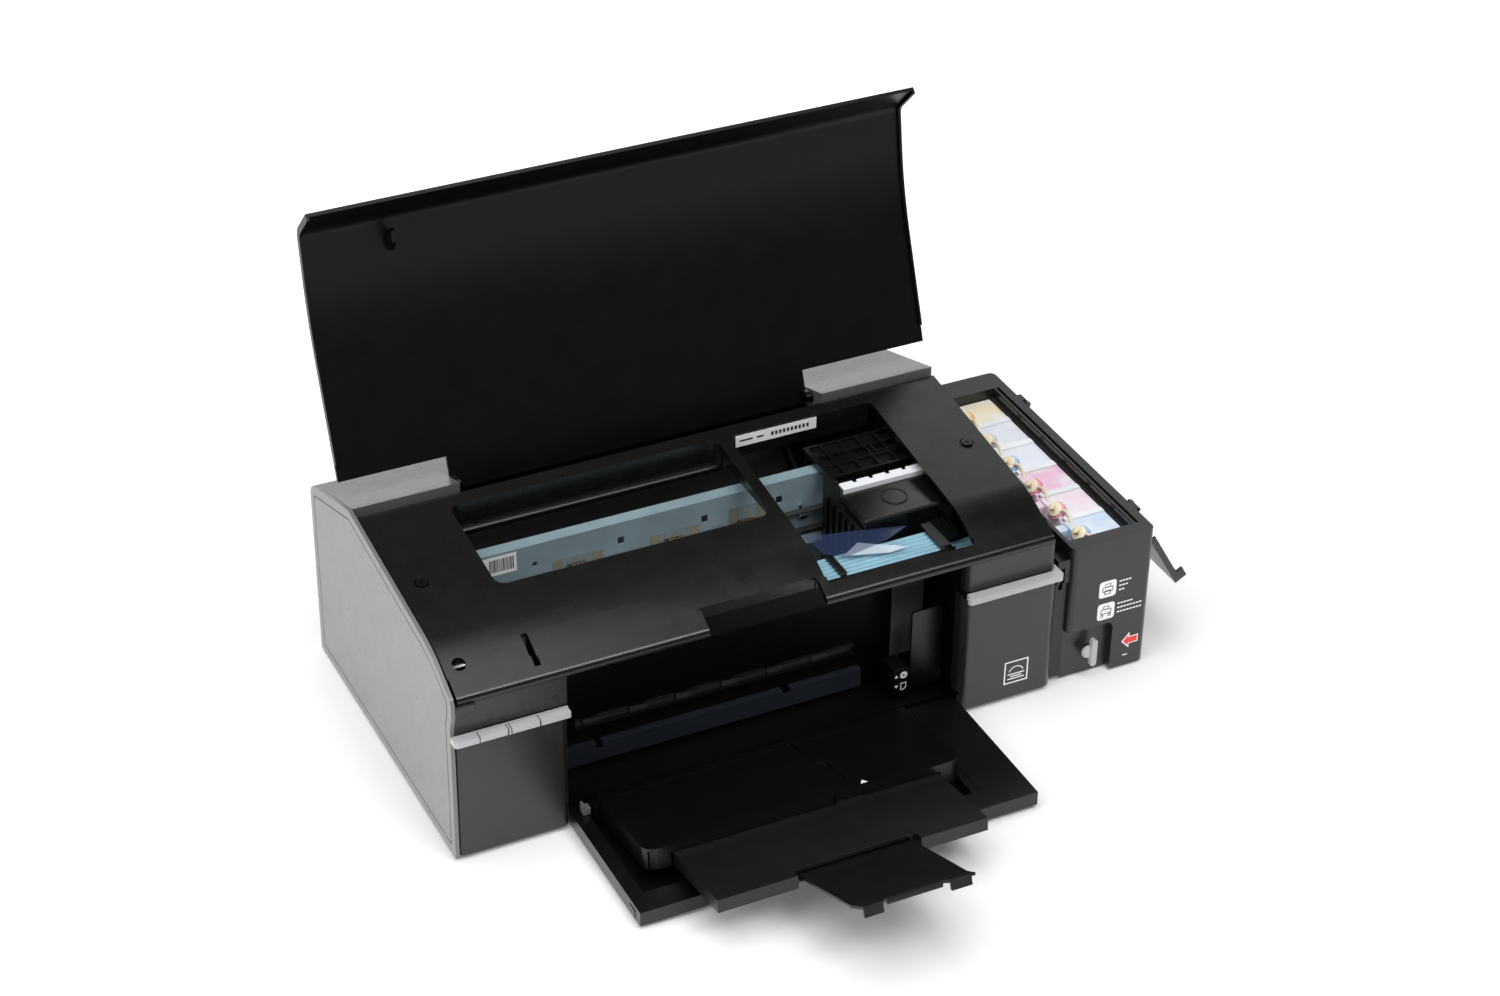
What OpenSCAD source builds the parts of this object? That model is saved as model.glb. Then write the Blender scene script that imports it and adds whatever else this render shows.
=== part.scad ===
// Inkjet printer with a side-mounted bank of refillable ink tanks.
// Printer axes: x to the right, y to the back from the front panels, z up from the body's underside.
// The datum then moves the whole object so that its box is centred on x and y and stands on z = 0.

/* [Body] */
// Width of the printer body without the tank unit
body_w = 456; // [452:1:460]
// Depth of the body from the front panels to the rear cover
body_d = 262.7; // [262:0.1:266]
// Height of the ridge between the lid and the rear caps
ridge_z = 168; // [167:0.5:169]
// Wall thickness of the moulded shells
wall = 2.5; // [2.2:0.1:2.8]
// Height of the rubber feet
foot_h = 3; // [2.5:0.5:4]
// Left edge of the paper output opening
opening_x0 = -146; // [-147:0.5:-145.5]
// Right edge of the paper output opening
opening_x1 = 151; // [150.5:0.5:152]

/* [Cover] */
// Angle that the open top cover swings through to close
cover_swing = 112; // [105:1:114]
// Thickness of the top cover
cover_t = 2.6; // [2.4:0.1:2.8]

/* [Paper output] */
// Length of the front door ahead of the panels
door_len = 113; // [110:0.5:113.5]
// Slope of the output tray
tray_slope = 9; // [8:0.5:9.5]
// How far the tray extension is pulled out
extension_out = 66; // [60:1:67]
// How far the stopper is pulled out
stopper_out = 68; // [60:1:69]
// Extra slope of the stopper when it is out
stopper_tilt = 13; // [10:0.5:13]

/* [Ink tanks] */
// Number of ink tanks
tank_count = 6; // [4:1:6]
// Height of the tank unit above the body's underside
tank_h = 113; // [112:0.5:114]
// How far the open tank cover has swung from closed
tank_cover_open = 240; // [225:1:245]

/* [Hidden] */
$fn = 48;
black = "#1b1c1d";
charcoal = "#34363a";
shell_grey = "#6d6f70";
silver = "#b4b6b9";
steel = "#8b98a3";
bright_steel = "#c8ccd0";
rubber = "#202020";
tube_blue = "#8fc3dd";
cream = "#e6d6b0";
milky = "#dcdcdc";
gap = 0.3;

half_w = body_w / 2;
panel_t = 2.8;
front_t = 2.2;
shell_x1 = half_w - 7.5;
pan_x1 = half_w - 7.4;
cap_x0 = opening_x0 - 1;
cap_x1 = 131;
support_pivot = [255, 134];

// side outline of the body: the crown slopes forward from the ridge, and the nose rounds it off
ridge_y = 181;
crown_slope = 6.84;
nose_slope = 28;
nose_y = -3.5;
nose_r = 8;
nose_foot_z = 126;
brow_y = 48;
brow_r = 90;
rear_r = 12;
rear_slope = 18.3;
brow_z = ridge_z - (ridge_y - brow_y) * tan(crown_slope);
brow_c = [brow_y, brow_z] - brow_r * [-sin(crown_slope), cos(crown_slope)];
brow_end = brow_c + brow_r * [-sin(nose_slope), cos(nose_slope)];
nose_cy = nose_y + nose_r;
nose_c = [nose_cy, brow_end.y - (brow_end.x - nose_cy) * tan(nose_slope) - nose_r / cos(nose_slope)];
rear_cy = body_d - rear_r;
rear_c = [rear_cy, ridge_z - (rear_cy - ridge_y) * tan(rear_slope) - rear_r / cos(rear_slope)];
// the upper housing lies this far under the crown line
housing_drop = 5;
housing_rear_y = 178;
nose_step_y = 14;

// top cover, described shut, and turned open about its hinge
hinge_y = 197;
hinge_z = 157.5;
hinge_r = 2.5;
cover_x0 = -half_w + 3.5;
cover_x1 = half_w + 0.5;
cover_rear = [178.3, 165.9];
cover_flat_y = 95;
cover_flat_slope = 1;
cover_arc_r = 300;
cover_arc_slope = 13;
cover_arc_z = cover_rear.y - (cover_rear.x - cover_flat_y) * tan(cover_flat_slope);
cover_arc_c = [cover_flat_y, cover_arc_z] - cover_arc_r * [-sin(cover_flat_slope), cos(cover_flat_slope)];
cover_arc_end = cover_arc_c + cover_arc_r * [-sin(cover_arc_slope), cos(cover_arc_slope)];
lip_r = 12;
lip_slope = 66;
lip_len = 25.5;
lip_c = cover_arc_end - 26 * [cos(cover_arc_slope), sin(cover_arc_slope)]
    - lip_r * [-sin(cover_arc_slope), cos(cover_arc_slope)];
tab_x0 = cap_x0 + 1.5;
tab_x1 = cap_x1 - 1.5;

// front door, hinged behind the lower edge of the panels
door_hinge_y = 6;
door_hinge_z = 6.5;
door_x0 = opening_x0 + 0.7;
door_x1 = opening_x1 - 0.7;
door_top = 11;
door_pin_r = 2;

// tray stack, in a frame that slopes up to the front: y runs forward as minus, z is the tray's normal
stack_y = 5;
stack_z = 18.4;
tray_x0 = -127;
tray_x1 = 107;
tray_front = 88;
tray_t = 15.5;
ext_x0 = -108;
ext_x1 = 89;
ext_front = 89.7 + extension_out;
ext_back = 4 + extension_out;
ext_top = -6;
ext_t = 3;
guide_x0 = -50;
guide_x1 = 39;
pivot_y = -83 - extension_out;
pivot_z = -10.9;
stop_len = 16 + stopper_out;
stop_tail = 76 - stopper_out;

// printing mechanism
frame_y = 130;
frame_top = 139;
shaft_y = 112;
shaft_z = 66;
shaft_r = 4.5;
carriage_x0 = 102;
carriage_x1 = 200;
belt_z = 105;
pulley_x = 205;
pulley_r = 7;
liner_top = 100;
feed_y = 135;
feed_z = 38;
exit_y = 64;
exit_z = 31;
pinion_y = 100;
pinion_z = 20;
drive_x0 = -212;
drive_w = 6;
tube_r = 2;
tube_pitch = 4.2;
tube_y = 23;
tube_hi = 127;
tube_turn = 7;
tube_turn_x = -30;
tube_clip_x = 142;

// tank unit on the right
tank_x0 = 238;
tank_x1 = 305;
tank_y0 = 1;
tank_y1 = 234;
tank_z0 = -1;
bay = [[241, 13], [298, 213]];
bottle_x1 = 290.5;
bottle_top = 105;
bottle_pitch = (bay[1].y - bay[0].y) / tank_count;
tank_hinge_x = tank_x1 + 3.5;
tank_hinge_z = 110;
tank_cover_w = tank_hinge_x - bay[0].x - 4;
knob_x = 259.5;
knob_z = 20;

// whole object at rest
cover_far = tank_hinge_x - (tank_cover_w + 4) * cos(tank_cover_open) + 2;
stop_far = pivot_y * cos(tray_slope) - stop_len * cos(tray_slope + stopper_tilt) + stack_y - 4;
datum = [-(cover_far - half_w) / 2, -(body_d + stop_far) / 2, foot_h];

// ---- helpers ----

// one sub-part in its colour, moved to the object's datum
module part(c) translate(datum) color(c) children();

// box between two opposite corners
module box(a, b) translate(a) cube(b - a);

// a [y, z] outline drawn between two places on x
module along_x(x0, x1) translate([x0, 0, 0]) rotate([90, 0, 90]) linear_extrude(x1 - x0) children();

// an [x, z] outline drawn between two places on y
module along_y(y0, y1) translate([0, y1, 0]) rotate([90, 0, 0]) linear_extrude(y1 - y0) children();

// round bar along x, and along y
module bar_x(x0, x1, y, z, r) translate([x0, y, z]) rotate([0, 90, 0]) cylinder(h = x1 - x0, r = r);
module bar_y(y0, y1, x, z, r) translate([x, y0, z]) rotate([-90, 0, 0]) cylinder(h = y1 - y0, r = r);

// rectangle between two corners with all four corners rounded
module rounded(a, b, r) {
    translate([a.x + r, a.y]) square([b.x - a.x - 2 * r, b.y - a.y]);
    translate([a.x, a.y + r]) square([b.x - a.x, b.y - a.y - 2 * r]);
    for (x = [a.x + r, b.x - r], y = [a.y + r, b.y - r])
        translate([x, y]) circle(r);
}

// points on an arc about c
function arc(c, r, a0, a1, n) =
    [for (i = [0:n]) let (a = a0 + (a1 - a0) * i / n) c + r * [cos(a), sin(a)]];

// crown line from the ridge to the foot of the nose, lowered by d
function crown(d) = concat(
    [[ridge_y, ridge_z - d / cos(crown_slope)]],
    arc(brow_c, brow_r - d, 90 + crown_slope, 90 + nose_slope, 6),
    arc(nose_c, nose_r - d, 90 + nose_slope, 180, 6),
    [[nose_y + d, nose_foot_z - 0.1]]);

// rear slope and rear edge down to the underside, moved in by d
function rear_line(d) = concat(
    [[body_d - d, d]],
    arc(rear_c, rear_r - d, 0, 90 - rear_slope, 5));

// whole side outline, moved in by d
function side_outline(d) = concat(
    rear_line(d), crown(d),
    [[nose_y + d, 118], [d, 108], [d, d]]);

// line of the shut top cover from its rear edge to its lip, at depth t under the outside
function cover_line(t) = concat(
    [cover_rear - t * [-sin(cover_flat_slope), cos(cover_flat_slope)]],
    arc(cover_arc_c, cover_arc_r - t, 90 + cover_flat_slope, 90 + cover_arc_slope, 6),
    arc(lip_c, lip_r - t, 90 + cover_arc_slope, 90 + lip_slope, 6),
    [lip_c + (lip_r - t) * [-sin(lip_slope), cos(lip_slope)] - lip_len * [cos(lip_slope), sin(lip_slope)]]);

function reversed(v) = [for (i = [len(v) - 1:-1:0]) v[i]];

// frames of the moving pieces at rest
module cover_frame() translate([0, hinge_y, hinge_z]) rotate([-cover_swing, 0, 0])
    translate([0, -hinge_y, -hinge_z]) children();
module stack_frame() translate([0, stack_y, stack_z]) rotate([-tray_slope, 0, 0]) children();
module stopper_frame() stack_frame() translate([0, pivot_y, pivot_z]) rotate([-stopper_tilt, 0, 0])
    translate([0, -pivot_y, -pivot_z]) children();
module tank_cover_frame() translate([tank_hinge_x, 0, tank_hinge_z]) rotate([0, tank_cover_open, 0])
    translate([-tank_hinge_x, 0, -tank_hinge_z]) children();

// ---- casing ----

module base_pan() part(black) difference() {
    union() {
        box([-half_w + 3.2, 13, 0], [pan_x1, body_d - wall - gap, 2.5]);
        for (x = [opening_x0 - 10, opening_x1 + 0.4])
            box([x, front_t + gap, 0], [x + 9.6, 20, 2.5]);
        for (x = [-half_w + 3.2, pan_x1 - wall])
            box([x, 13, 0], [x + wall, body_d - wall - gap, 28]);
        // posts that carry the ends of the roller drive and the rails
        for (x = [-204, 203])
            box([x, 40, 0], [x + 6, 60, 40]);
        // hinge blocks of the front door
        box([opening_x0 - 9, front_t + gap, 2], [opening_x0 - 0.4, 11, 14]);
        box([opening_x1 + 0.4, front_t + gap, 2], [opening_x1 + 9, 11, 14]);
        // low sill behind the door
        box([opening_x0, 17, 0], [opening_x1, 19.5, 6]);
    }
    box([opening_x0 - 0.3, 0, -1], [opening_x1 + 0.3, 17, 5]);
    bar_x(opening_x0 - 7, opening_x0, door_hinge_y, door_hinge_z, door_pin_r + 0.05);
    bar_x(opening_x1, opening_x1 + 7, door_hinge_y, door_hinge_z, door_pin_r + 0.05);
}

module rubber_feet() part(rubber) {
    for (x = [-205, 205], y = [24, 240])
        translate([x, y, -foot_h]) cylinder(h = foot_h, r = 8);
    for (y = [20, 215])
        translate([272, y, -foot_h]) cylinder(h = foot_h + tank_z0, r = 6);
}

module left_side_panel() part(shell_grey) difference() {
    along_x(-half_w, -half_w + panel_t) polygon(side_outline(0));
    // shadow groove that frames the inlaid face
    along_x(-half_w - 1, -half_w + 0.9) difference() {
        polygon(side_outline(7));
        polygon(side_outline(7.9));
    }
}

module right_side_panel() part(charcoal)
    along_x(half_w - 7, half_w) difference() {
        polygon([
            [9.6, 0], [body_d, 0], [body_d, 118], [250, 128], [190, 146], [ridge_y, 148],
            [50, 134], [22, 126], [9.6, 117]]);
        polygon([
            [18, 12], [248, 12], [248, 110], [180, 134], [60, 123], [24, 119], [18, 113]]);
    }

// curved sheet of the upper housing between two places on x
module housing_sheet(x0, x1, d, t) along_x(x0, x1) difference() {
    polygon(concat([[housing_rear_y, 100]], [for (p = crown(d)) [min(p.x, housing_rear_y), p.y]],
        [[nose_y + d, 100]]));
    polygon(concat([[housing_rear_y + 1, 99]], [for (p = crown(d + t)) [min(p.x, housing_rear_y + 1), p.y]],
        [[nose_y + d + t, 99]]));
    translate([-20, 0]) square([300, nose_foot_z]);
}

// height of the crown line over the flat of the top, lowered by d
function top_z(y, d) = ridge_z - (ridge_y - y) * tan(crown_slope) - d / cos(crown_slope);

// band that the window rims are cut from: it stays above the carriage and is deeper behind it
module rim_band(x0, x1) along_x(x0, x1) polygon([
    [70, 147.5], [160, 147.5], [160, 142], [175, 142], [175, top_z(175, 6)], [70, top_z(70, 6)]]);

// last point of the crown's bend, where the recess of the top face runs out to the nose step
step_end = crown(housing_drop)[7];
left_window = [[-161, 80], [41, 167]];
right_window = [[50, 9], [163, 167]];
nose_notch = [-43, 44];

module upper_housing() part(charcoal) difference() {
    union() {
        housing_sheet(-half_w + 5.5, shell_x1, 2.5, 5);
        // rim round the left window, which runs on behind the right one
        difference() {
            intersection() {
                rim_band(left_window[0].x - 2, left_window[1].x + 2);
                translate([0, 0, 128]) linear_extrude(40)
                    rounded(left_window[0] - [2, 2], left_window[1] + [2, 2], 10);
            }
            translate([0, 0, 127]) linear_extrude(42)
                rounded(left_window[0] + [0.5, 0.5], left_window[1] - [0.5, 0.5], 7.5);
        }
        difference() {
            rim_band(left_window[1].x - 12, right_window[1].x - 2);
            box([-200, 0, 100], [300, left_window[1].y - 0.5, 200]);
            box([-200, left_window[1].y + 2, 100], [300, 300, 200]);
        }
        // back wall of the finger notch in the nose
        box([nose_notch.x - 1.5, 16.5, 128], [nose_notch.y + 1.5, 19.5, 139]);
        // end walls
        for (x = [-half_w + 5.5, shell_x1 - 2])
            along_x(x, x + 2) intersection() {
                polygon(concat([[housing_rear_y, 120]],
                    [for (p = crown(4)) [min(p.x, housing_rear_y), p.y]], [[nose_y + 4, 118]]));
                translate([8, 124]) square([200, 60]);
            }
    }
    // the top face lies lower than the nose, so that the shut cover can drop into it
    along_x(-300, 300) polygon(concat(
        [[nose_step_y, 300], [300, 300], [300, top_z(300, housing_drop)]],
        [for (i = [0:7]) crown(housing_drop)[i]],
        [[nose_step_y, step_end.y - (step_end.x - nose_step_y) * tan(nose_slope)]]));
    translate([0, 0, 100]) linear_extrude(100) rounded(left_window[0], left_window[1], 8);
    // the right window runs down to the bar across the front
    translate([0, 0, 100]) linear_extrude(100) rounded(right_window[0], right_window[1], 3);
    // finger notch
    translate([nose_notch.x, -20, 100]) cube([nose_notch.y - nose_notch.x, 37.5, 60]);
    // latch slot and screw wells
    box([-165, 7, 120], [-160.5, 32, 170]);
    translate([-211.4, 23, 120]) cylinder(h = 60, r = 4.6);
    for (x = [-206.6, 205.6])
        translate([x, 100, 152.4]) cylinder(h = 20, r = 5.4);
    // fine crease across the front of the top face
    along_x(-153, right_window[0].x - 1) translate([28.2, 0]) difference() {
        square([0.8, 200]);
        translate([-1, 0]) square([3, 143.6]);
    }
}

module housing_screws() part(steel) {
    for (x = [-206.6, 205.6])
        translate([x, 100, 146]) {
            difference() {
                translate([0, 0, 6.5]) cylinder(h = 1.8, r = 4.2);
                for (a = [0, 90])
                    rotate(a) box([-2.6, -0.4, 7.3], [2.6, 0.4, 9]);
            }
        }
}

module rear_shell(x0, x1) along_x(x0, x1) intersection() {
    difference() {
        polygon(side_outline(0));
        polygon(side_outline(wall));
    }
    translate([ridge_y, 120]) square([100, 60]);
}

// cap over one rear corner: a shell with a front wall, and a hinge wall towards the middle
module rear_cap(x0, x1, wall_x) difference() {
    union() {
        rear_shell(x0, x1);
        along_x(x0, x1) polygon([
            [ridge_y, 158], [ridge_y, ridge_z], [ridge_y + wall, ridge_z - 0.7], [ridge_y + wall, 158]]);
        along_x(wall_x, wall_x + 4) intersection() {
            polygon(side_outline(wall - 1));
            union() {
                translate([ridge_y, 146]) square([80, 60]);
                translate([support_pivot.x - 8, support_pivot.y - 8]) square([16, 30]);
            }
        }
    }
    box([x0 - 1, 190, 100], [x1 + 1, 300, 120.5]);
}

module rear_cap_left() part(shell_grey) difference() {
    rear_cap(-half_w + panel_t + 0.2, cap_x0, cap_x0 - 4);
    bar_x(cap_x0 - 5, cap_x0 + 1, hinge_y, hinge_z, hinge_r + 0.05);
    bar_x(cap_x0 - 5, cap_x0 + 1, support_pivot.x, support_pivot.y, 2.05);
}

module rear_cap_right() part(shell_grey) difference() {
    rear_cap(cap_x1, shell_x1, cap_x1);
    bar_x(cap_x1 - 1, cap_x1 + 5, hinge_y, hinge_z, hinge_r + 0.05);
    bar_x(cap_x1 - 1, cap_x1 + 5, support_pivot.x, support_pivot.y, 2.05);
}

module rear_cover() part(black) difference() {
    union() {
        box([-half_w + panel_t + 0.2, body_d - wall, 0.5], [half_w - 7.2, body_d, 120]);
        // lower frame of the paper slot
        box([cap_x0 + 0.5, 254, 100], [cap_x1 - 0.5, body_d, 125]);
    }
    box([-214, body_d - 9, 20], [-184, body_d + 1, 42]);
    box([176, body_d - 9, 20], [191, body_d + 1, 34]);
    for (x = [-120:8:-40], z = [50, 66])
        box([x, body_d - 9, z], [x + 3.5, body_d + 1, z + 12]);
    box([cap_x0 + 3, 250, 96], [cap_x1 - 3, body_d - 2.5, 126]);
}

// lower front panels stand on each side of the opening
module left_front_panel() part(charcoal) difference() {
    union() {
        translate([0, 0, 1]) linear_extrude(95) difference() {
            rounded([-half_w + panel_t, 0], [opening_x0, 16], 4);
            rounded([-half_w + panel_t + front_t, front_t], [opening_x0 + 10, 30], 2);
            translate([-half_w, 12]) square([100, 20]);
        }
        box([opening_x0 - front_t, 2, 1], [opening_x0, 12, 96]);
    }
    box([opening_x0 - 14, front_t, 0], [opening_x0 + 1, 20, 16]);
}

module right_front_panel() part(charcoal) difference() {
    translate([0, 0, 1]) linear_extrude(95) difference() {
        rounded([opening_x1, 0], [half_w - 0.5, 24], 7);
        translate([opening_x1 + front_t, front_t]) square([half_w - 7.2 - opening_x1 - front_t, 30]);
        translate([opening_x1, 12]) square([100, 20]);
        translate([half_w - 7.2, 9.2]) square([20, 20]);
    }
    box([opening_x1 - 1, front_t, 0], [opening_x1 + 14, 20, 16]);
    // square frame of a blank rating mark
    translate([197, 0, 22]) difference() {
        box([-9.5, -1, -9.5], [9.5, 0.25, 9.5]);
        box([-8.8, -2, -8.8], [8.8, 1, 8.8]);
    }
}

module left_fascia() part(charcoal)
    box([-half_w + panel_t, 0, 102.5], [opening_x0, 2.5, nose_foot_z - 1]);

module right_fascia() part(charcoal)
    translate([0, 0, 102.5]) linear_extrude(nose_foot_z - 103.5) difference() {
        rounded([opening_x1 + 1, 0], [half_w - 4, 14], 5);
        rounded([opening_x1 + 1 + wall, wall], [half_w - 4 - wall, 30], 3);
        translate([opening_x1, 7.6]) square([100, 20]);
    }

// trim ledges: silver bars with a rounded outer end
trim_front = -8;
trim_z = [97, 101.5];

module left_trim() part(silver) {
    translate([0, 0, trim_z[0]]) linear_extrude(trim_z[1] - trim_z[0]) difference() {
        rounded([-half_w, trim_front], [-150, 10], 3);
        translate([-300, 0]) square([300, 20]);
        translate([-210.8, trim_front - 1]) square([100, 20]);
    }
    // bar behind the buttons, and the divider between the first two
    box([-210.8, -1.5, trim_z[0]], [opening_x0, 0, trim_z[1]]);
    box([-190.3, trim_front, trim_z[0]], [-188.7, -1.5, trim_z[1]]);
}

module right_trim() part(silver)
    translate([0, 0, trim_z[0]]) linear_extrude(trim_z[1] - trim_z[0]) difference() {
        rounded([opening_x1, trim_front], [half_w - 1.5, 12], 3);
        translate([opening_x1, 0]) square([half_w - opening_x1 - 7, 20]);
        translate([opening_x1 - 1, 8]) square([100, 20]);
        translate([opening_x1 - 1, trim_front + 3]) square([3, 20]);
    }

// push buttons set into the left ledge
module button(x0, x1) translate([0, 0, trim_z[0] + 0.2]) linear_extrude(trim_z[1] - trim_z[0] - 0.2)
    rounded([x0, trim_front], [x1, -1.9], 0.8);

module power_button() part(silver) button(-210.4, -190.7);
module ink_button() part(silver) button(-188.3, -168.4);
module paper_button() part(silver) button(-167.9, opening_x0 - 0.4);

// ---- top cover ----

module top_cover() part(black) cover_frame() difference() {
    union() {
        along_x(cover_x0, cover_x1) polygon(concat(cover_line(0), reversed(cover_line(cover_t))));
        // middle tab that runs back between the rear caps to the hinge
        along_x(tab_x0, tab_x1) polygon([
            cover_rear + [-6, 0], cover_rear + [-6, -cover_t],
            [hinge_y + 5, cover_rear.y - cover_t], [hinge_y + 5, cover_rear.y]]);
        // hinge ears and their moulded pins
        for (x = [tab_x0, tab_x1 - 4]) along_x(x, x + 4) {
            polygon([
                [hinge_y - 5, cover_rear.y - 1], [hinge_y - 4, hinge_z], [hinge_y + 4, hinge_z],
                [hinge_y + 5, cover_rear.y - 1]]);
            translate([hinge_y, hinge_z]) circle(4);
        }
        bar_x(cap_x0 - 3.5, tab_x0 + 1, hinge_y, hinge_z, hinge_r);
        bar_x(tab_x1 - 1, cap_x1 + 3.5, hinge_y, hinge_z, hinge_r);
        // latch hook that drops into the housing's slot
        along_x(-164.2, -161.2) polygon([
            [14, 147], [28, 151.5], [28, 146], [22, 138], [14, 136], [12, 139], [18, 142]]);
        // low side flanges
        for (x = [cover_x0, cover_x1 - 2])
            along_x(x, x + 2) polygon(concat(cover_line(1), reversed(cover_line(5))));
    }
    // the flanges stop short of the rear caps
    for (x = [cover_x0, cover_x1 - 2])
        box([x - 1, 166, 150], [x + 3, 190, cover_rear.y - cover_t - 0.2]);
}

// ---- paper output ----

module front_door() part(black) difference() {
    union() {
        box([door_x0, -door_len, 0.2], [door_x1, 8, door_top]);
        bar_x(door_x0 - 4.5, door_x0 + 1, door_hinge_y, door_hinge_z, door_pin_r);
        bar_x(door_x1 - 1, door_x1 + 4.5, door_hinge_y, door_hinge_z, door_pin_r);
        // catch on the left edge
        box([door_x0 - 0.4, -door_len + 8, 1.5], [door_x0 + 1, -door_len + 17, 7]);
    }
    // pocket that the tray stack nests in
    box([tray_x0 - 8, -95, 2.8], [tray_x1 + 8, 20, 30]);
    // corner relief behind the hinge
    box([door_x0 - 1, 3, 9.2], [door_x1 + 1, 20, 30]);
}

module output_tray() part(black) stack_frame() difference() {
    union() {
        translate([0, 0, -tray_t]) linear_extrude(tray_t) difference() {
            union() {
                rounded([tray_x0, -tray_front], [tray_x1, -24], 9);
                translate([tray_x0, -60]) square([tray_x1 - tray_x0, 56]);
            }
            // shallow wave in the front edge
            polygon([
                [8, -tray_front - 1], [36, -tray_front - 1],
                [32, -tray_front + 2], [13, -tray_front + 2]]);
        }
        // ears that locate the tray beside the door pocket
        for (x = [tray_x0 - 5, tray_x1])
            box([x, -14, -12], [x + 5, -5, -3]);
    }
    // space for the extension and the stopper, open underneath and at both ends
    box([tray_x0 + 2.2, -tray_front + 2.2, -tray_t - 1], [tray_x1 - 2.2, -tray_front + 12, -2.2]);
    box([tray_x0 + 2.2, -tray_front + 8, -tray_t - 1], [tray_x1 - 2.2, -1, -2.2]);
    box([ext_x0 - 1.5, -tray_front - 1, -tray_t - 1], [ext_x1 + 1.5, -tray_front + 12, ext_top + 0.5]);
    // finger groove across the top
    translate([0, 0, -1.2]) linear_extrude(3) polygon([
        [12, -8], [17, -8], [21, -40], [26, -46], [28, -72], [26, -72], [23, -47], [17, -40]]);
}

module tray_extension() part(charcoal) stack_frame() difference() {
    union() {
        box([ext_x0, -ext_front, ext_top - ext_t], [ext_x1, -ext_back, ext_top]);
        box([ext_x0, -ext_front, -tray_t], [ext_x1, -ext_front + 2.4, ext_top]);
        for (x = [ext_x0, ext_x1 - 2])
            box([x, -ext_front, -tray_t], [x + 2, -ext_back, ext_top]);
        // lugs that carry the stopper's guide
        for (x = [guide_x0 - 4, guide_x1 + 0.4])
            box([x, pivot_y - 3.5, -tray_t + 1], [x + 3.6, pivot_y + 4, ext_top - 1]);
    }
    // gap in the front edge where the stopper comes out
    box([guide_x0 - 0.4, -ext_front - 1, -tray_t - 1], [guide_x1 + 0.4, pivot_y + 1, ext_top + 1]);
    bar_x(guide_x0 - 5, guide_x0 + 1, pivot_y, pivot_z, 1.25);
    bar_x(guide_x1 - 1, guide_x1 + 5, pivot_y, pivot_z, 1.25);
}

module stopper_guide() part(black) stopper_frame() {
    box([guide_x0, pivot_y - 3, -13.9], [guide_x1, pivot_y + 3, -12.5]);
    for (x = [guide_x0, guide_x1 - 1.6])
        box([x, pivot_y - 2.5, -13.9], [x + 1.6, pivot_y + 2.5, -9.3]);
    bar_x(guide_x0 - 3, guide_x0 + 1, pivot_y, pivot_z, 1.2);
    bar_x(guide_x1 - 1, guide_x1 + 3, pivot_y, pivot_z, 1.2);
}

module paper_stopper() part(black) stopper_frame() {
    front = pivot_y - stop_len;
    translate([0, 0, -12.1]) linear_extrude(2.2)
        polygon([
            [-47.4, pivot_y + stop_tail], [36.4, pivot_y + stop_tail], [36.4, pivot_y],
            [35.4, front + 6], [38, front], [20, front], [16, front + 3], [-24, front + 3],
            [-28, front], [-41.8, front], [-43, front + 3.4], [-46.2, front + 9], [-47.4, pivot_y]]);
    // hooks that hold the paper back
    for (x = [[-41.8, -28], [20, 35]])
        box([x[0], front, -17.5], [x[1], front + 2, -11]);
    box([-24, front + 3, -14.5], [16, front + 5, -11]);
}

// ---- frame inside the opening ----

module opening_liner() part(charcoal) {
    box([opening_x0 - 5, 14, 16.5], [opening_x0 - 3, 57.5, 124]);
    difference() {
        box([opening_x1 + 3, 14, 16.5], [opening_x1 + 5, 57.5, 124]);
        // window for the tubes
        box([opening_x1 + 2, 18, 108.5], [opening_x1 + 6, 52, 117.5]);
    }
    // raised guide plate on the right wall
    box([opening_x1 + 1, 26, 20], [opening_x1 + 3, 57.5, 72]);
    // guide wall in front of the rollers, with the slot that the sheet comes out of, and its ends
    difference() {
        box([-141, 55, 21.4], [100, 57.5, liner_top]);
        box([-118, 54, 33], [97, 58, 42]);
        // fine slanted parting line
        along_y(54, 55.5) polygon([[-8, 90], [-7.4, 90], [16.6, 31], [16, 31]]);
    }
    box([100, 55, 4], [opening_x1 + 3, 57.5, liner_top]);
    box([-151, 55, 4], [-141, 57.5, liner_top]);
    // channel that the tubes lie in
    box([opening_x0 - 3, 19.9, 108.8], [opening_x1 + 3, 47.6, 110.2]);
    box([opening_x0 - 3, 19.9, 108.8], [opening_x1 + 3, 20.8, 124.5]);
}

module front_beam() part(steel) difference() {
    union() {
        box([-140.6, 50, 6], [99.6, 51.2, 21]);
        box([-140.6, 50, 19.8], [99.6, 56, 21]);
    }
    box([-104, 49, 16], [-100, 57, 22]);
    box([38, 49, 18], [44, 57, 22]);
}

// ---- printing mechanism ----

module main_frame() part(steel) difference() {
    union() {
        // back plate with a folded top flange
        box([-216, frame_y, 58], [216, frame_y + 1.2, frame_top]);
        box([-216, frame_y, frame_top - 1.2], [216, frame_y + 10, frame_top]);
        // side plates
        for (x = [-216, 214.8])
            box([x, 56, 12], [x + 1.2, frame_y + 12, 122]);
        bar_y(121, frame_y + 0.5, -pulley_x, belt_z, 1.5);
    }
    for (x = [-216, 214.8])
        bar_x(x - 1, x + 2.2, shaft_y, shaft_z, shaft_r);
    bar_y(frame_y - 1, frame_y + 3, pulley_x, belt_z, 4);
    bar_y(frame_y - 1, frame_y + 3, -113.8, 122.8, 2);
    for (x = [-52, 12, 70])
        box([x, frame_y - 1, 121], [x + 5, frame_y + 3, 127]);
}

module carriage_shaft() part(bright_steel) bar_x(-218, 218, shaft_y, shaft_z, shaft_r);

module encoder_strip() part(milky) box([-213, 124.5, 84], [213, 125, 92]);

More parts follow.
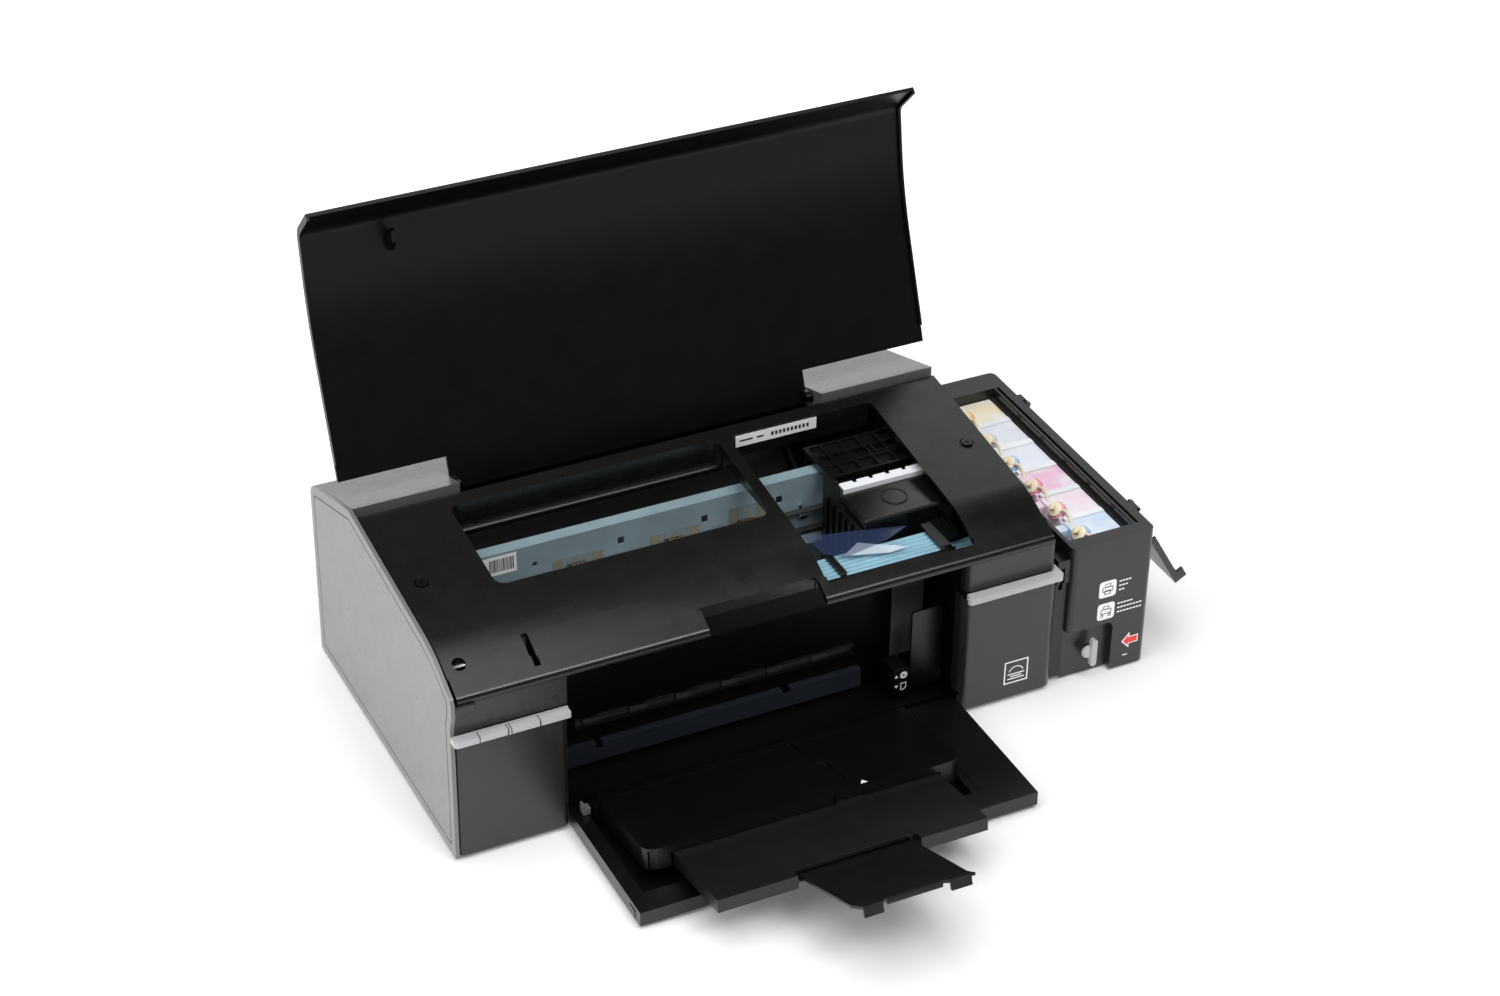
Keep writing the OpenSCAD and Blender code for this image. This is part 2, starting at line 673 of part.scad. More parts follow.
// flat loop round two pulleys, drawn in the x-z plane
module belt_loop(r) {
    for (x = [-pulley_x, pulley_x])
        translate([x, belt_z]) circle(r);
    translate([-pulley_x, belt_z - r]) square([2 * pulley_x, 2 * r]);
}

module timing_belt() part(black) along_y(122.4, 127.6) difference() {
    belt_loop(pulley_r + 1.7);
    belt_loop(pulley_r + 0.35);
}

module drive_pulley(x) {
    bar_y(121.8, 128.2, x, belt_z, pulley_r);
    for (y = [120.9, 128.2])
        bar_y(y, y + 0.9, x, belt_z, pulley_r + 1.6);
}

module motor_pulley() part(bright_steel) difference() {
    drive_pulley(pulley_x);
    bar_y(119, 131, pulley_x, belt_z, 1.55);
    box([pulley_x - 0.8, 119, belt_z + pulley_r - 1.2], [pulley_x + 0.8, 131, belt_z + pulley_r + 3]);
}

module idler_pulley() part(milky) difference() {
    drive_pulley(-pulley_x);
    bar_y(119, 131, -pulley_x, belt_z, 1.55);
    box([-pulley_x - 0.8, 119, belt_z + pulley_r - 1.2], [-pulley_x + 0.8, 131, belt_z + pulley_r + 3]);
}

module carriage_motor() part(steel) {
    bar_y(frame_y + 1.3, frame_y + 28, pulley_x, belt_z, 9);
    bar_y(frame_y - 9, frame_y + 2, pulley_x, belt_z, 1.5);
}

module carriage() part(black) difference() {
    union() {
        box([carriage_x0, 60, 48], [carriage_x1, 120.3, 52]);
        box([carriage_x0, 60, 48], [carriage_x1, 62.4, 111.6]);
        // side walls
        for (x = [carriage_x0, carriage_x1 - 3])
            along_x(x, x + 3) polygon([
                [60, 48], [120.3, 48], [120.3, 141.2], [153, 141.2], [153, 146], [104, 146], [96, 132],
                [60, 132]]);
        // rear wall and the head that hooks over the frame
        box([carriage_x0, 118, 48], [carriage_x1, 120.3, 84]);
        box([carriage_x0, 110, 141.2], [carriage_x1, 153, 143.4]);
        for (x = [carriage_x0 + 12:14:carriage_x1 - 14])
            box([x, 110, 143], [x + 2, 153, 146]);
        for (y = [110, 124, 138, 151])
            box([carriage_x0, y, 143], [carriage_x1, y + 2, 146]);
        box([carriage_x0, 147, 120], [carriage_x1, 149.5, 143]);
        // bearing block on the shaft
        box([carriage_x0, 104, 56], [carriage_x1, 120, 76]);
        // arm that holds the tubes
        box([tube_clip_x, 48.6, 104], [tube_clip_x + 8, 61, 111.6]);
        box([tube_clip_x, 48.6, 104], [tube_clip_x + 8, 51, 132]);
        box([tube_clip_x, 20.4, 129.4], [tube_clip_x + 8, 50, 132]);
        // ribs on the left face
        for (y = [66:9:112])
            box([carriage_x0 - 1.5, y, 56], [carriage_x0 + 1, y + 2, 128]);
    }
    bar_x(carriage_x0 - 3, carriage_x1 + 3, shaft_y, shaft_z, shaft_r + 0.05);
}

module print_head() part(steel) {
    box([118, 72, 43.4], [188, 104, 47.9]);
    box([130, 76, 52.1], [176, 100, 58]);
}

// smoked cover over the ink dampers
module carriage_cover() part(black)
    along_x(carriage_x0 + 1.5, 172) polygon([
        [58.5, 112], [58.5, 138], [60, 140], [94, 141], [94, 136], [62, 134.6], [60.2, 132.3],
        [59.7, 132.3], [59.7, 112]]);

module clamp_strip() part("#e8eaee") difference() {
    box([carriage_x0 + 3.4, 95, 134], [168, 103.6, 144]);
    box([carriage_x0, 96.5, 130], [200, 110, 142.4]);
    for (x = [116:13:165])
        box([x, 101, 130], [x + 3, 106, 150]);
}

// six tubes side by side on the floor of their channel
module tube_ribbon() part(tube_blue)
    for (i = [0:5])
        bar_x(tube_turn_x, 222, tube_y + tube_pitch * i, tube_hi - 2 * tube_turn, tube_r);

// the run that rolls over to the carriage
module tube_loop() part(tube_blue)
    for (i = [0:5]) translate([0, tube_y + tube_pitch * i, 0]) {
        bar_x(tube_turn_x, tube_clip_x + 6, 0, tube_hi, tube_r);
        translate([tube_turn_x, 0, tube_hi - tube_turn]) rotate([90, 0, 0]) rotate([0, 0, 90])
            rotate_extrude(angle = 180) translate([tube_turn, 0]) circle(tube_r);
    }

module platen() part(black) {
    box([-125, 72, 34], [99, 122, 40]);
    for (x = [-120:18:96])
        box([x, 74, 40], [x + 1.6, 120, 42]);
}

module feed_roller() part(bright_steel) {
    bar_x(-205, 212, feed_y, feed_z, 7);
    bar_x(drive_x0, -205, feed_y, feed_z, 14);
}

module exit_roller() part(rubber) {
    bar_x(drive_x0 + drive_w, 100, exit_y, exit_z, 3);
    for (x = [-110:35:80])
        bar_x(x, x + 12, exit_y, exit_z, 5);
    bar_x(drive_x0, drive_x0 + drive_w + 0.5, exit_y, exit_z, 7);
}

module star_wheels() part(steel) {
    bar_x(-124, 98, exit_y, exit_z + 10.2, 1);
    for (x = [-110:35:80])
        translate([x + 5, exit_y, exit_z + 10.2]) rotate([0, 90, 0]) cylinder(h = 1.2, r = 4.8, $fn = 12);
}

module feed_pinion() part(bright_steel) difference() {
    bar_x(drive_x0, -205.5, pinion_y, pinion_z, 4);
    bar_x(drive_x0 - 1, -204, pinion_y, pinion_z, 1.25);
    box([drive_x0 - 1, pinion_y - 0.6, pinion_z + 3], [-204, pinion_y + 0.6, pinion_z + 5]);
}

module feed_motor() part(steel) {
    bar_x(-203, -172, pinion_y, pinion_z, 14);
    bar_x(drive_x0 + 0.5, -202, pinion_y, pinion_z, 1.2);
}

module drive_loop(d) hull() {
    translate([feed_y, feed_z]) circle(14 + d, $fn = 32);
    translate([exit_y, exit_z]) circle(7 + d, $fn = 32);
    translate([pinion_y, pinion_z]) circle(4 + d, $fn = 32);
}

module feed_belt() part(rubber) along_x(drive_x0 + 0.5, drive_x0 + 5) difference() {
    drive_loop(1.8);
    drive_loop(0.5);
}

module capping_station() part(black) difference() {
    box([110, 66, 2.5], [196, 110, 40]);
    box([124, 72, 34], [184, 104, 41]);
    box([113, 69, -1], [193, 107, 32]);
}

module power_supply() part(black) box([-196, 147, 2.5], [-110, 239, 44]);

module main_board() part("#2f6b45") {
    box([120, 150, 6], [208, 240, 7.6]);
    box([140, 170, 7.6], [160, 190, 10]);
    box([170, 200, 7.6], [185, 212, 10]);
    for (x = [123, 205], y = [153, 237])
        translate([x, y, 2.5]) cylinder(h = 3.5, r = 2);
}

module power_inlet() part(black) difference() {
    box([-213, body_d - 22, 21], [-185, body_d - 0.2, 41]);
    box([-209, body_d - 18, 25], [-189, body_d + 1, 37]);
}

module usb_port() part(bright_steel) difference() {
    box([176.5, body_d - 18, 20.5], [190.5, body_d - 0.2, 33.5]);
    box([178, body_d - 15, 22], [189, body_d + 1, 32]);
}

// ---- paper supply ----

module paper_chute() part(black) {
    along_x(-140, 124) polygon([
        [252, 120], [250, 120], [168, 52], [150, 47], [150, 45], [169, 50]]);
    for (x = [-140, 121])
        along_x(x, x + 3) polygon([[252, 120], [246, 128], [156, 60], [150, 45], [169, 50]]);
}

module edge_guide() part(charcoal)
    along_x(-134, -130) polygon([[238, 112], [246, 119], [244, 126], [190, 84], [192, 74]]);

// flap that shuts the paper slot between the rear caps
module paper_support() part(shell_grey) {
    translate([0, support_pivot.x, support_pivot.y]) rotate([-rear_slope, 0, 0]) {
        box([tab_x0 + 1, -45, 3], [tab_x1 - 1, 4, 5.5]);
        for (x = [tab_x0 + 1, tab_x1 - 5])
            box([x, -4, -2], [x + 4, 4, 4]);
        bar_x(cap_x0 - 3, cap_x1 + 3, 0, 0, 2);
    }
}

// ---- tank unit ----

module tank_housing() part(charcoal) difference() {
    union() {
        translate([0, 0, tank_z0]) linear_extrude(tank_h - tank_z0)
            rounded([tank_x0, tank_y0], [tank_x1, tank_y1], 5);
        // hinge knuckles of the tank cover
        for (y = [30, 190])
            along_y(y, y + 8) polygon([
                [tank_x1 - 1, tank_hinge_z - 8], [tank_hinge_x, tank_hinge_z - 3.4],
                [tank_hinge_x + 2.2, tank_hinge_z], [tank_hinge_x, tank_hinge_z + 2.6],
                [tank_x1 - 1, tank_hinge_z + 2.6]]);
    }
    // open bay, with a ledge along its right side
    box([bay[0].x, bay[0].y, 4], [bottle_x1 + 0.5, bay[1].y, 200]);
    box([bay[0].x, bay[0].y, tank_h - 7], [bay[1].x - 4, bay[1].y, 200]);
    box([bay[1].x - 2.5, bay[0].y, tank_h - 12], [bay[1].x, bay[1].y, 200]);
    // recess for the valve in the lower left corner of the front
    translate([0, tank_y0 + 6, 0]) rotate([90, 0, 0]) linear_extrude(10)
        rounded([tank_x0 - 8, -10], [276, 41], 5);
    bar_y(0, 20, knob_x, knob_z, 2.55);
    for (y = [30, 190])
        bar_y(y - 1, y + 9, tank_hinge_x, tank_hinge_z, 1.3);
}

module tank_bracket() part(black) difference() {
    union() {
        box([half_w + 0.2, 6, 2], [tank_x0 - 0.1, 225, 100]);
        box([half_w + 0.2, 4, 84], [tank_x0 - 0.1, 16, 104]);
    }
    box([231, 0, 78], [234, 9, 97]);
    box([half_w - 1, 30, 14], [tank_x0 - 3, 200, 90]);
    bar_x(half_w - 5, tank_x0 + 5, 33.5, tube_hi - 2 * tube_turn - 16, 6);
}

// six bottles with sloping shoulders towards the printer
module ink_tanks() part(milky)
    for (i = [0:tank_count - 1])
        translate([0, bay[0].y + i * bottle_pitch, 0]) difference() {
            union() {
                along_y(0.4, bottle_pitch - 0.4) polygon([
                    [bay[0].x + 0.6, 5], [bottle_x1, 5], [bottle_x1, bottle_top], [256, bottle_top],
                    [254, 84], [bay[0].x + 0.6, 84]]);
                box([bay[0].x + 0.6, bottle_pitch - 9, 80], [256, bottle_pitch - 0.4, bottle_top - 2]);
            }
            // parting step between neighbours
            box([255, -1, bottle_top - 2.2], [300, 3, bottle_top + 1]);
        }

// stopper of each bottle: a coloured grommet, a cream cap and its strap
module tank_plugs() part(cream)
    for (i = [0:tank_count - 1])
        translate([0, bay[0].y + i * bottle_pitch + 11, 94]) {
            rotate([0, 90, 0]) {
                translate([0, 0, bay[0].x + 6]) cylinder(h = 4, r = 5.6);
                translate([0, 0, bay[0].x + 10]) cylinder(h = 3, r = 7.4);
            }
            box([bay[0].x + 2, -1.5, 2], [bay[0].x + 8, 1.5, 4.5]);
            box([bay[0].x + 2, -8, 2], [bay[0].x + 4, 1.5, 4.5]);
        }

module tank_cover() part(charcoal) tank_cover_frame() {
    edge = bay[0] + [0.6, 1];
    back = bay[1].y - 1;
    top = tank_h + 4.2;
    box([edge.x, edge.y, tank_h + 2], [tank_hinge_x - 8, back, top]);
    // rim and the finger tab at the front corner
    box([edge.x, edge.y, tank_h - 2.5], [edge.x + 2, back, top]);
    for (y = [edge.y, back - 2])
        box([edge.x, y, tank_h - 0.5], [bay[1].x - 6, y + 2, top]);
    box([edge.x, edge.y, tank_h - 6], [edge.x + 8.4, edge.y + 2, top]);
    // hinge arms and pins
    for (y = [38.4, 185.6])
        along_y(y, y + 4) polygon([
            [tank_hinge_x - 12, top], [tank_hinge_x - 12, tank_h + 1], [tank_hinge_x - 3, tank_h + 0.5],
            [tank_hinge_x - 2.6, tank_hinge_z], [tank_hinge_x, tank_hinge_z - 2.2],
            [tank_hinge_x + 2.2, tank_hinge_z], [tank_hinge_x, tank_hinge_z + 2.4],
            [tank_hinge_x - 2, tank_hinge_z + 4.2], [tank_hinge_x - 8, top]]);
    bar_y(31, 40, tank_hinge_x, tank_hinge_z, 1.25);
    bar_y(188, 197, tank_hinge_x, tank_hinge_z, 1.25);
}

module valve_knob() part(silver) {
    bar_y(2, 12, knob_x, knob_z, 2.5);
    along_y(-2.5, 2.2) rounded([knob_x - 4.2, knob_z - 12.5], [knob_x + 4.2, knob_z + 12.5], 3.6);
    bar_y(2, 6.6, knob_x, knob_z, 6.5);
}

base_pan();
rubber_feet();
left_side_panel();
right_side_panel();
upper_housing();
housing_screws();
rear_cover();
rear_cap_left();
rear_cap_right();
left_front_panel();
right_front_panel();
left_fascia();
right_fascia();
left_trim();
right_trim();
power_button();
ink_button();
paper_button();
top_cover();
front_door();
output_tray();
tray_extension();
stopper_guide();
paper_stopper();
opening_liner();
front_beam();
main_frame();
carriage_shaft();
encoder_strip();
timing_belt();
motor_pulley();
idler_pulley();
carriage_motor();
carriage();
print_head();
carriage_cover();
clamp_strip();
tube_ribbon();
tube_loop();
platen();
feed_roller();
exit_roller();
star_wheels();
feed_pinion();
feed_motor();
feed_belt();
capping_station();
power_supply();
main_board();
power_inlet();
usb_port();
paper_chute();
edge_guide();
paper_support();
tank_housing();
tank_bracket();
ink_tanks();
tank_plugs();
tank_cover();
valve_knob();
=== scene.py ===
"""Inkjet printer with its cover open: looks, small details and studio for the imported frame."""
import math
import random

import bmesh
import bpy
from mathutils import Matrix, Vector


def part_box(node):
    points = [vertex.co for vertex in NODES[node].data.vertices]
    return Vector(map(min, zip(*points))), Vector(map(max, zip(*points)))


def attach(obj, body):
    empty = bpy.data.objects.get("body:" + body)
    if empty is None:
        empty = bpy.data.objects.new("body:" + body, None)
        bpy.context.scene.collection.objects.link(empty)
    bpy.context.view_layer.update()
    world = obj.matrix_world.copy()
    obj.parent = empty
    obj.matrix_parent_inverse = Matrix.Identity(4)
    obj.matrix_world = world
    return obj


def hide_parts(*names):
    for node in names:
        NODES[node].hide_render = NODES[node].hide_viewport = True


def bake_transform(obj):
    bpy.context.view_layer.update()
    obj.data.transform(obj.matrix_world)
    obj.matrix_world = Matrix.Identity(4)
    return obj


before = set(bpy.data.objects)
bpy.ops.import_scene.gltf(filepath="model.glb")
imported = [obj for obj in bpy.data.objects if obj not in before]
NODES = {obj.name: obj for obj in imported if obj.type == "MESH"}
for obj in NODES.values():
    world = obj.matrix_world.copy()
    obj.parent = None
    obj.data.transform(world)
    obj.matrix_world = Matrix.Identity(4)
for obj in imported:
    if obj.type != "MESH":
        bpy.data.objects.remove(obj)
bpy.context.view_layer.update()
random.seed(7)

# printer coordinates in millimetres: x = 0 at the middle of the body, y = 0 at the front panels,
# z = 0 at the body's underside
HALF_WIDTH_M, PANEL_FOOT_M = 0.228, 0.001
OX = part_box("left_side_panel")[0][0] + HALF_WIDTH_M
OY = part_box("left_front_panel")[0][1]
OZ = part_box("left_front_panel")[0][2] - PANEL_FOOT_M

# the number of inks, the bay of their tanks along y, and the room for one tank
TANKS = 6
BAY = (13, 213)
PITCH = (BAY[1] - BAY[0]) / TANKS

# edges flatter than this stay one smooth surface
SHARP_ANGLE = math.radians(28)


def at(x, y, z):
    """The place in the scene, in metres, of a point in printer millimetres."""
    return Vector((OX + x / 1000, OY + y / 1000, OZ + z / 1000))


# ---------------------------------------------------------------- camera

def look_from(location, forward, right, down):
    """A camera's matrix from its place and its three axes."""
    m = Matrix((right, [-c for c in down], [-c for c in forward])).transposed().to_4x4()
    m.translation = location
    return m


cam_data = bpy.data.cameras.new("camera")
cam = bpy.data.objects.new("camera", cam_data)
bpy.context.scene.collection.objects.link(cam)
cam.matrix_world = look_from(at(-791.62, -1565.25, 1383.22),
                             forward=(0.3707, 0.7472, -0.5516), right=(0.8995, -0.4368, 0.0130),
                             down=(-0.2312, -0.5010, -0.8340))
cam_data.sensor_width = 36
cam_data.lens = 77.64
cam_data.clip_start = 0.05
bpy.context.scene.camera = cam

# ---------------------------------------------------------------- node helpers


class Mat:
    """A Principled material with shorthand for the procedural parts."""

    def __init__(self, name, color, rough=0.5, **more):
        self.mat = bpy.data.materials.new(name)
        self.mat.use_nodes = True
        self.nt = self.mat.node_tree
        self.nt.nodes.clear()
        self.out = self.nt.nodes.new("ShaderNodeOutputMaterial")
        self.p = self.nt.nodes.new("ShaderNodeBsdfPrincipled")
        self.nt.links.new(self.p.outputs[0], self.out.inputs[0])
        self.p.inputs["Base Color"].default_value = (*color, 1)
        self.p.inputs["Roughness"].default_value = rough
        for key, value in more.items():
            self.p.inputs[key.replace("_", " ")].default_value = value
        self.color = color
        self.coord = None

    def node(self, kind, **props):
        n = self.nt.nodes.new("ShaderNode" + kind)
        for k, v in props.items():
            setattr(n, k, v)
        return n

    def link(self, a, b):
        self.nt.links.new(a, b)

    def place(self, scale=(1, 1, 1)):
        """Object coordinates, stretched if asked."""
        if self.coord is None:
            self.coord = self.node("TexCoord").outputs["Object"]
        if scale == (1, 1, 1):
            return self.coord
        m = self.node("Mapping")
        m.inputs["Scale"].default_value = scale
        self.link(self.coord, m.inputs["Vector"])
        return m.outputs[0]

    def noise(self, scale, detail=2.0, stretch=(1, 1, 1)):
        n = self.node("TexNoise")
        n.inputs["Scale"].default_value = scale
        n.inputs["Detail"].default_value = detail
        self.link(self.place(stretch), n.inputs["Vector"])
        return n.outputs[0]

    def remap(self, value, lo, hi, to_lo, to_hi):
        m = self.node("MapRange")
        for i, v in enumerate((lo, hi, to_lo, to_hi)):
            m.inputs[i + 1].default_value = v
        self.link(value, m.inputs[0])
        return m.outputs[0]

    def mix(self, fac, a, b):
        m = self.node("Mix", data_type="RGBA")
        self.link(fac, m.inputs[0])
        for socket, c in ((m.inputs[6], a), (m.inputs[7], b)):
            if isinstance(c, tuple):
                socket.default_value = (*c, 1)
            else:
                self.link(c, socket)
        return m.outputs[2]

    def along_y(self, y0, y1, colors):
        """Even bands of colour between two places on the printer's y axis."""
        sep = self.node("SeparateXYZ")
        self.link(self.place(), sep.inputs[0])
        ramp = self.node("ValToRGB")
        ramp.color_ramp.interpolation = "CONSTANT"
        marks = ramp.color_ramp.elements
        while len(marks) < len(colors):
            marks.new(1.0)
        for i, c in enumerate(colors):
            marks[i].position = i / len(colors)
            marks[i].color = (*c, 1)
        self.link(self.remap(sep.outputs["Y"], at(0, y0, 0).y, at(0, y1, 0).y, 0, 1), ramp.inputs[0])
        return ramp.outputs[0]

    def bump(self, height, distance, strength=1.0):
        b = self.node("Bump")
        b.inputs["Distance"].default_value = distance
        b.inputs["Strength"].default_value = strength
        self.link(height, b.inputs["Height"])
        self.link(b.outputs[0], self.p.inputs["Normal"])

    def vary(self, amount, scale=22.0):
        """Slow changes of shade over a surface."""
        dark = tuple(c * (1 - amount) for c in self.color)
        light = tuple(c * (1 + amount) for c in self.color)
        f = self.remap(self.noise(scale, 3.0), 0.3, 0.7, 0, 1)
        self.link(self.mix(f, dark, light), self.p.inputs["Base Color"])

    def rough_range(self, lo, hi, scale=60.0):
        """Roughness that wanders between two values."""
        self.link(self.remap(self.noise(scale, 4.0), 0.3, 0.7, lo, hi), self.p.inputs["Roughness"])


def moulded(name, color, rough, grain=2200.0, depth=0.00003, vary=0.10, specular=0.5, spread=0.03):
    """Injection-moulded plastic: a fine spark-eroded grain over a slow change of shade."""
    m = Mat(name, color, rough)
    m.p.inputs["Specular IOR Level"].default_value = specular
    m.vary(vary)
    m.rough_range(rough - spread, rough + spread)
    m.bump(m.noise(grain, 2.0), depth, 0.6)
    return m.mat


def metal(name, color, rough, stretch=(1, 1, 1), grain=900.0, metallic=1.0):
    """Sheet or turned metal; stretch draws its grain out along an axis."""
    m = Mat(name, color, rough, Metallic=metallic)
    m.vary(0.12, 30.0)
    m.rough_range(rough - 0.06, rough + 0.08, 90.0)
    m.bump(m.noise(grain, 2.0, stretch), 0.00001, 0.5)
    return m.mat


# the ink in the tanks, and the rubber of their plugs, from the front to the back
INKS = [(0.50, 0.66, 0.86), (0.86, 0.62, 0.76), (0.80, 0.42, 0.62), (0.72, 0.76, 0.88), (0.70, 0.73, 0.80),
        (0.84, 0.72, 0.36)]
GROMMETS = [(0.32, 0.55, 0.80), (0.84, 0.36, 0.50), (0.80, 0.28, 0.42), (0.36, 0.58, 0.84),
            (0.60, 0.62, 0.66), (0.84, 0.50, 0.16)]


def bottle_plastic():
    """Milky translucent plastic with ink showing through in patches."""
    m = Mat("ink_bottle_plastic", (0.8, 0.8, 0.8), 0.34)
    ink = m.along_y(BAY[0], BAY[1], INKS)
    patches = m.remap(m.noise(70.0, 3.0), 0.36, 0.62, 0.12, 0.78)
    m.link(m.mix(patches, (0.80, 0.81, 0.84), ink), m.p.inputs["Base Color"])
    m.p.inputs["Subsurface Weight"].default_value = 0.35
    m.p.inputs["Subsurface Radius"].default_value = (1.0, 0.9, 0.9)
    m.p.inputs["Subsurface Scale"].default_value = 0.003
    m.bump(m.noise(180.0, 2.0), 0.0003, 0.5)
    return m.mat


def grommet_rubber():
    """Rubber with the colour of each tank's ink."""
    m = Mat("grommet_rubber", (0.8, 0.5, 0.5), 0.42)
    m.link(m.along_y(BAY[0], BAY[1], GROMMETS), m.p.inputs["Base Color"])
    m.bump(m.noise(900.0, 2.0), 0.00003, 0.5)
    return m.mat


def tube_plastic():
    """Pale blue tubing that lets a little light through."""
    m = Mat("tube_plastic", (0.24, 0.44, 0.54), 0.26)
    m.vary(0.14, 60.0)
    m.p.inputs["Subsurface Weight"].default_value = 0.2
    m.p.inputs["Subsurface Radius"].default_value = (0.6, 0.9, 1.0)
    m.p.inputs["Subsurface Scale"].default_value = 0.002
    m.bump(m.noise(500.0, 2.0), 0.00002, 0.5)
    return m.mat


def film(name, color, alpha):
    """Thin clear sheet with slow waves in it."""
    m = Mat(name, color, 0.12, Alpha=alpha)
    m.vary(0.1, 40.0)
    m.bump(m.noise(60.0, 2.0), 0.0002, 0.4)
    return m.mat


M = {
    "housing": moulded("housing_plastic", (0.0044, 0.0046, 0.0042), 0.27, 1500.0, 0.00004),
    "panel": moulded("front_panel_plastic", (0.0115, 0.0120, 0.0112), 0.30, 1900.0, 0.00002),
    # the left side panel's light grey base colour is painted reflection of the white studio on its dark
    # plastic; the right side panel keeps the dark panel plastic
    "side": moulded("left_panel_painted_reflection", (0.166, 0.165, 0.157), 0.30, 2400.0, 0.000002, 0.02),
    "cap": moulded("cap_plastic", (0.105, 0.106, 0.101), 0.26, 2400.0, 0.00001, 0.05),
    "cover": moulded("cover_plastic", (0.0014, 0.0019, 0.0020), 0.34, 2600.0, 0.000004, 0.10, specular=0.20),
    "black": moulded("black_plastic", (0.0022, 0.0022, 0.0022), 0.32, 2000.0, 0.00003, specular=0.4),
    "inner": moulded("inner_black_plastic", (0.0020, 0.0020, 0.0020), 0.45, 1800.0, 0.00003, specular=0.15),
    "satin": moulded("satin_black_plastic", (0.0036, 0.0036, 0.0038), 0.24, 2600.0, 0.000004),
    "tray": moulded("tray_plastic", (0.0024, 0.0024, 0.0024), 0.30, 1700.0, 0.00004, specular=0.35),
    "extension": moulded("extension_plastic", (0.0050, 0.0054, 0.0058), 0.34, 1700.0, 0.00004, specular=0.4),
    "tank": moulded("tank_housing_plastic", (0.0115, 0.0117, 0.0112), 0.36, 1500.0, 0.00005),
    "silver": moulded("silver_paint", (0.44, 0.45, 0.46), 0.34, 2800.0, 0.000006, 0.04),
    "rubber": moulded("rubber", (0.018, 0.018, 0.018), 0.75, 1200.0, 0.00005),
    "frame": metal("galvanised_steel", (0.30, 0.41, 0.46), 0.42, grain=260.0, metallic=0.35),
    "steel": metal("ground_steel", (0.62, 0.63, 0.64), 0.24, (0.05, 1, 1), 1600.0),
    "dark_steel": metal("dark_sheet_steel", (0.030, 0.037, 0.050), 0.34, grain=300.0, metallic=0.4),
    "white": moulded("white_plastic", (0.80, 0.82, 0.85), 0.40, 1800.0, 0.00001, 0.05),
    "board": moulded("circuit_board", (0.02, 0.09, 0.04), 0.4, 800.0, 0.00002),
    "cream": moulded("cream_plug_plastic", (0.86, 0.76, 0.55), 0.42, 1500.0, 0.00001, 0.06),
    "bottle": bottle_plastic(),
    "grommet": grommet_rubber(),
    "tube": tube_plastic(),
    "label": moulded("paper_label", (0.90, 0.91, 0.91), 0.55, 1500.0, 0.00001, 0.03),
    "ink": moulded("printing_ink", (0.012, 0.012, 0.012), 0.5, 1500.0, 0.00001, 0.05),
    "print": moulded("white_print", (0.92, 0.92, 0.92), 0.5, 1800.0, 0.00001, 0.05),
    "red": moulded("red_print", (0.86, 0.030, 0.030), 0.45, 1800.0, 0.00001, 0.05),
    "engraved": moulded("engraved_mark", (0.0030, 0.0030, 0.0030), 0.25, 1800.0, 0.00001, 0.05),
    "satin_grey": moulded("satin_grey_plastic", (0.130, 0.136, 0.138), 0.34, 1600.0, 0.00002, 0.06),
    "tape": moulded("beige_tape", (0.22, 0.21, 0.15), 0.5, 900.0, 0.00003, 0.15),
    "spring": metal("bronze_spring", (0.22, 0.13, 0.08), 0.35),
    "film": film("clear_film", (0.05, 0.08, 0.19), 0.22),
    # pale translucent sheet: painted glare on the tube film's fold, and the pale encoder strip
    "film_glare": film("pale_film_and_painted_glare", (0.66, 0.76, 0.84), 0.55),
    "window": film("window_film", (0.30, 0.36, 0.36), 0.35),
}

LOOKS = {
    "base_pan": "inner", "rubber_feet": "rubber", "left_side_panel": "side",
    "right_side_panel": "panel", "upper_housing": "housing", "housing_screws": "black",
    "rear_cover": "black", "rear_cap_left": "cap", "rear_cap_right": "cap", "left_front_panel": "panel",
    "right_front_panel": "panel", "left_fascia": "panel", "right_fascia": "panel",
    "left_trim": "silver", "right_trim": "silver", "power_button": "silver", "ink_button": "silver",
    "paper_button": "silver", "top_cover": "cover", "front_door": "black", "output_tray": "tray",
    "tray_extension": "extension", "stopper_guide": "black", "paper_stopper": "extension",
    "opening_liner": "inner", "front_beam": "dark_steel", "main_frame": "frame",
    "carriage_shaft": "steel", "encoder_strip": "film_glare", "timing_belt": "rubber",
    "motor_pulley": "steel", "idler_pulley": "white", "carriage_motor": "steel", "carriage": "black",
    "print_head": "frame", "carriage_cover": "satin", "clamp_strip": "white", "tube_ribbon": "tube",
    "tube_loop": "tube", "platen": "inner", "feed_roller": "steel", "exit_roller": "rubber",
    "star_wheels": "steel", "feed_pinion": "steel", "feed_motor": "steel", "feed_belt": "rubber",
    "capping_station": "inner", "power_supply": "inner", "main_board": "board", "power_inlet": "black",
    "usb_port": "steel", "paper_chute": "inner", "edge_guide": "inner", "paper_support": "cap",
    "tank_housing": "tank", "tank_bracket": "black", "ink_tanks": "bottle", "tank_plugs": "cream",
    "tank_cover": "panel", "valve_knob": "silver",
}
# how far the sharp edges are rounded, in millimetres, where it isn't 0.3
EDGE = {"upper_housing": 0.6, "top_cover": 0.5, "tank_housing": 1.0, "front_door": 0.5, "output_tray": 0.5,
        "tray_extension": 0.4, "paper_stopper": 0.35, "left_side_panel": 0.6, "ink_tanks": 1.2,
        "valve_knob": 0.8, "left_trim": 0.5, "right_trim": 0.5, "clamp_strip": 0.4}


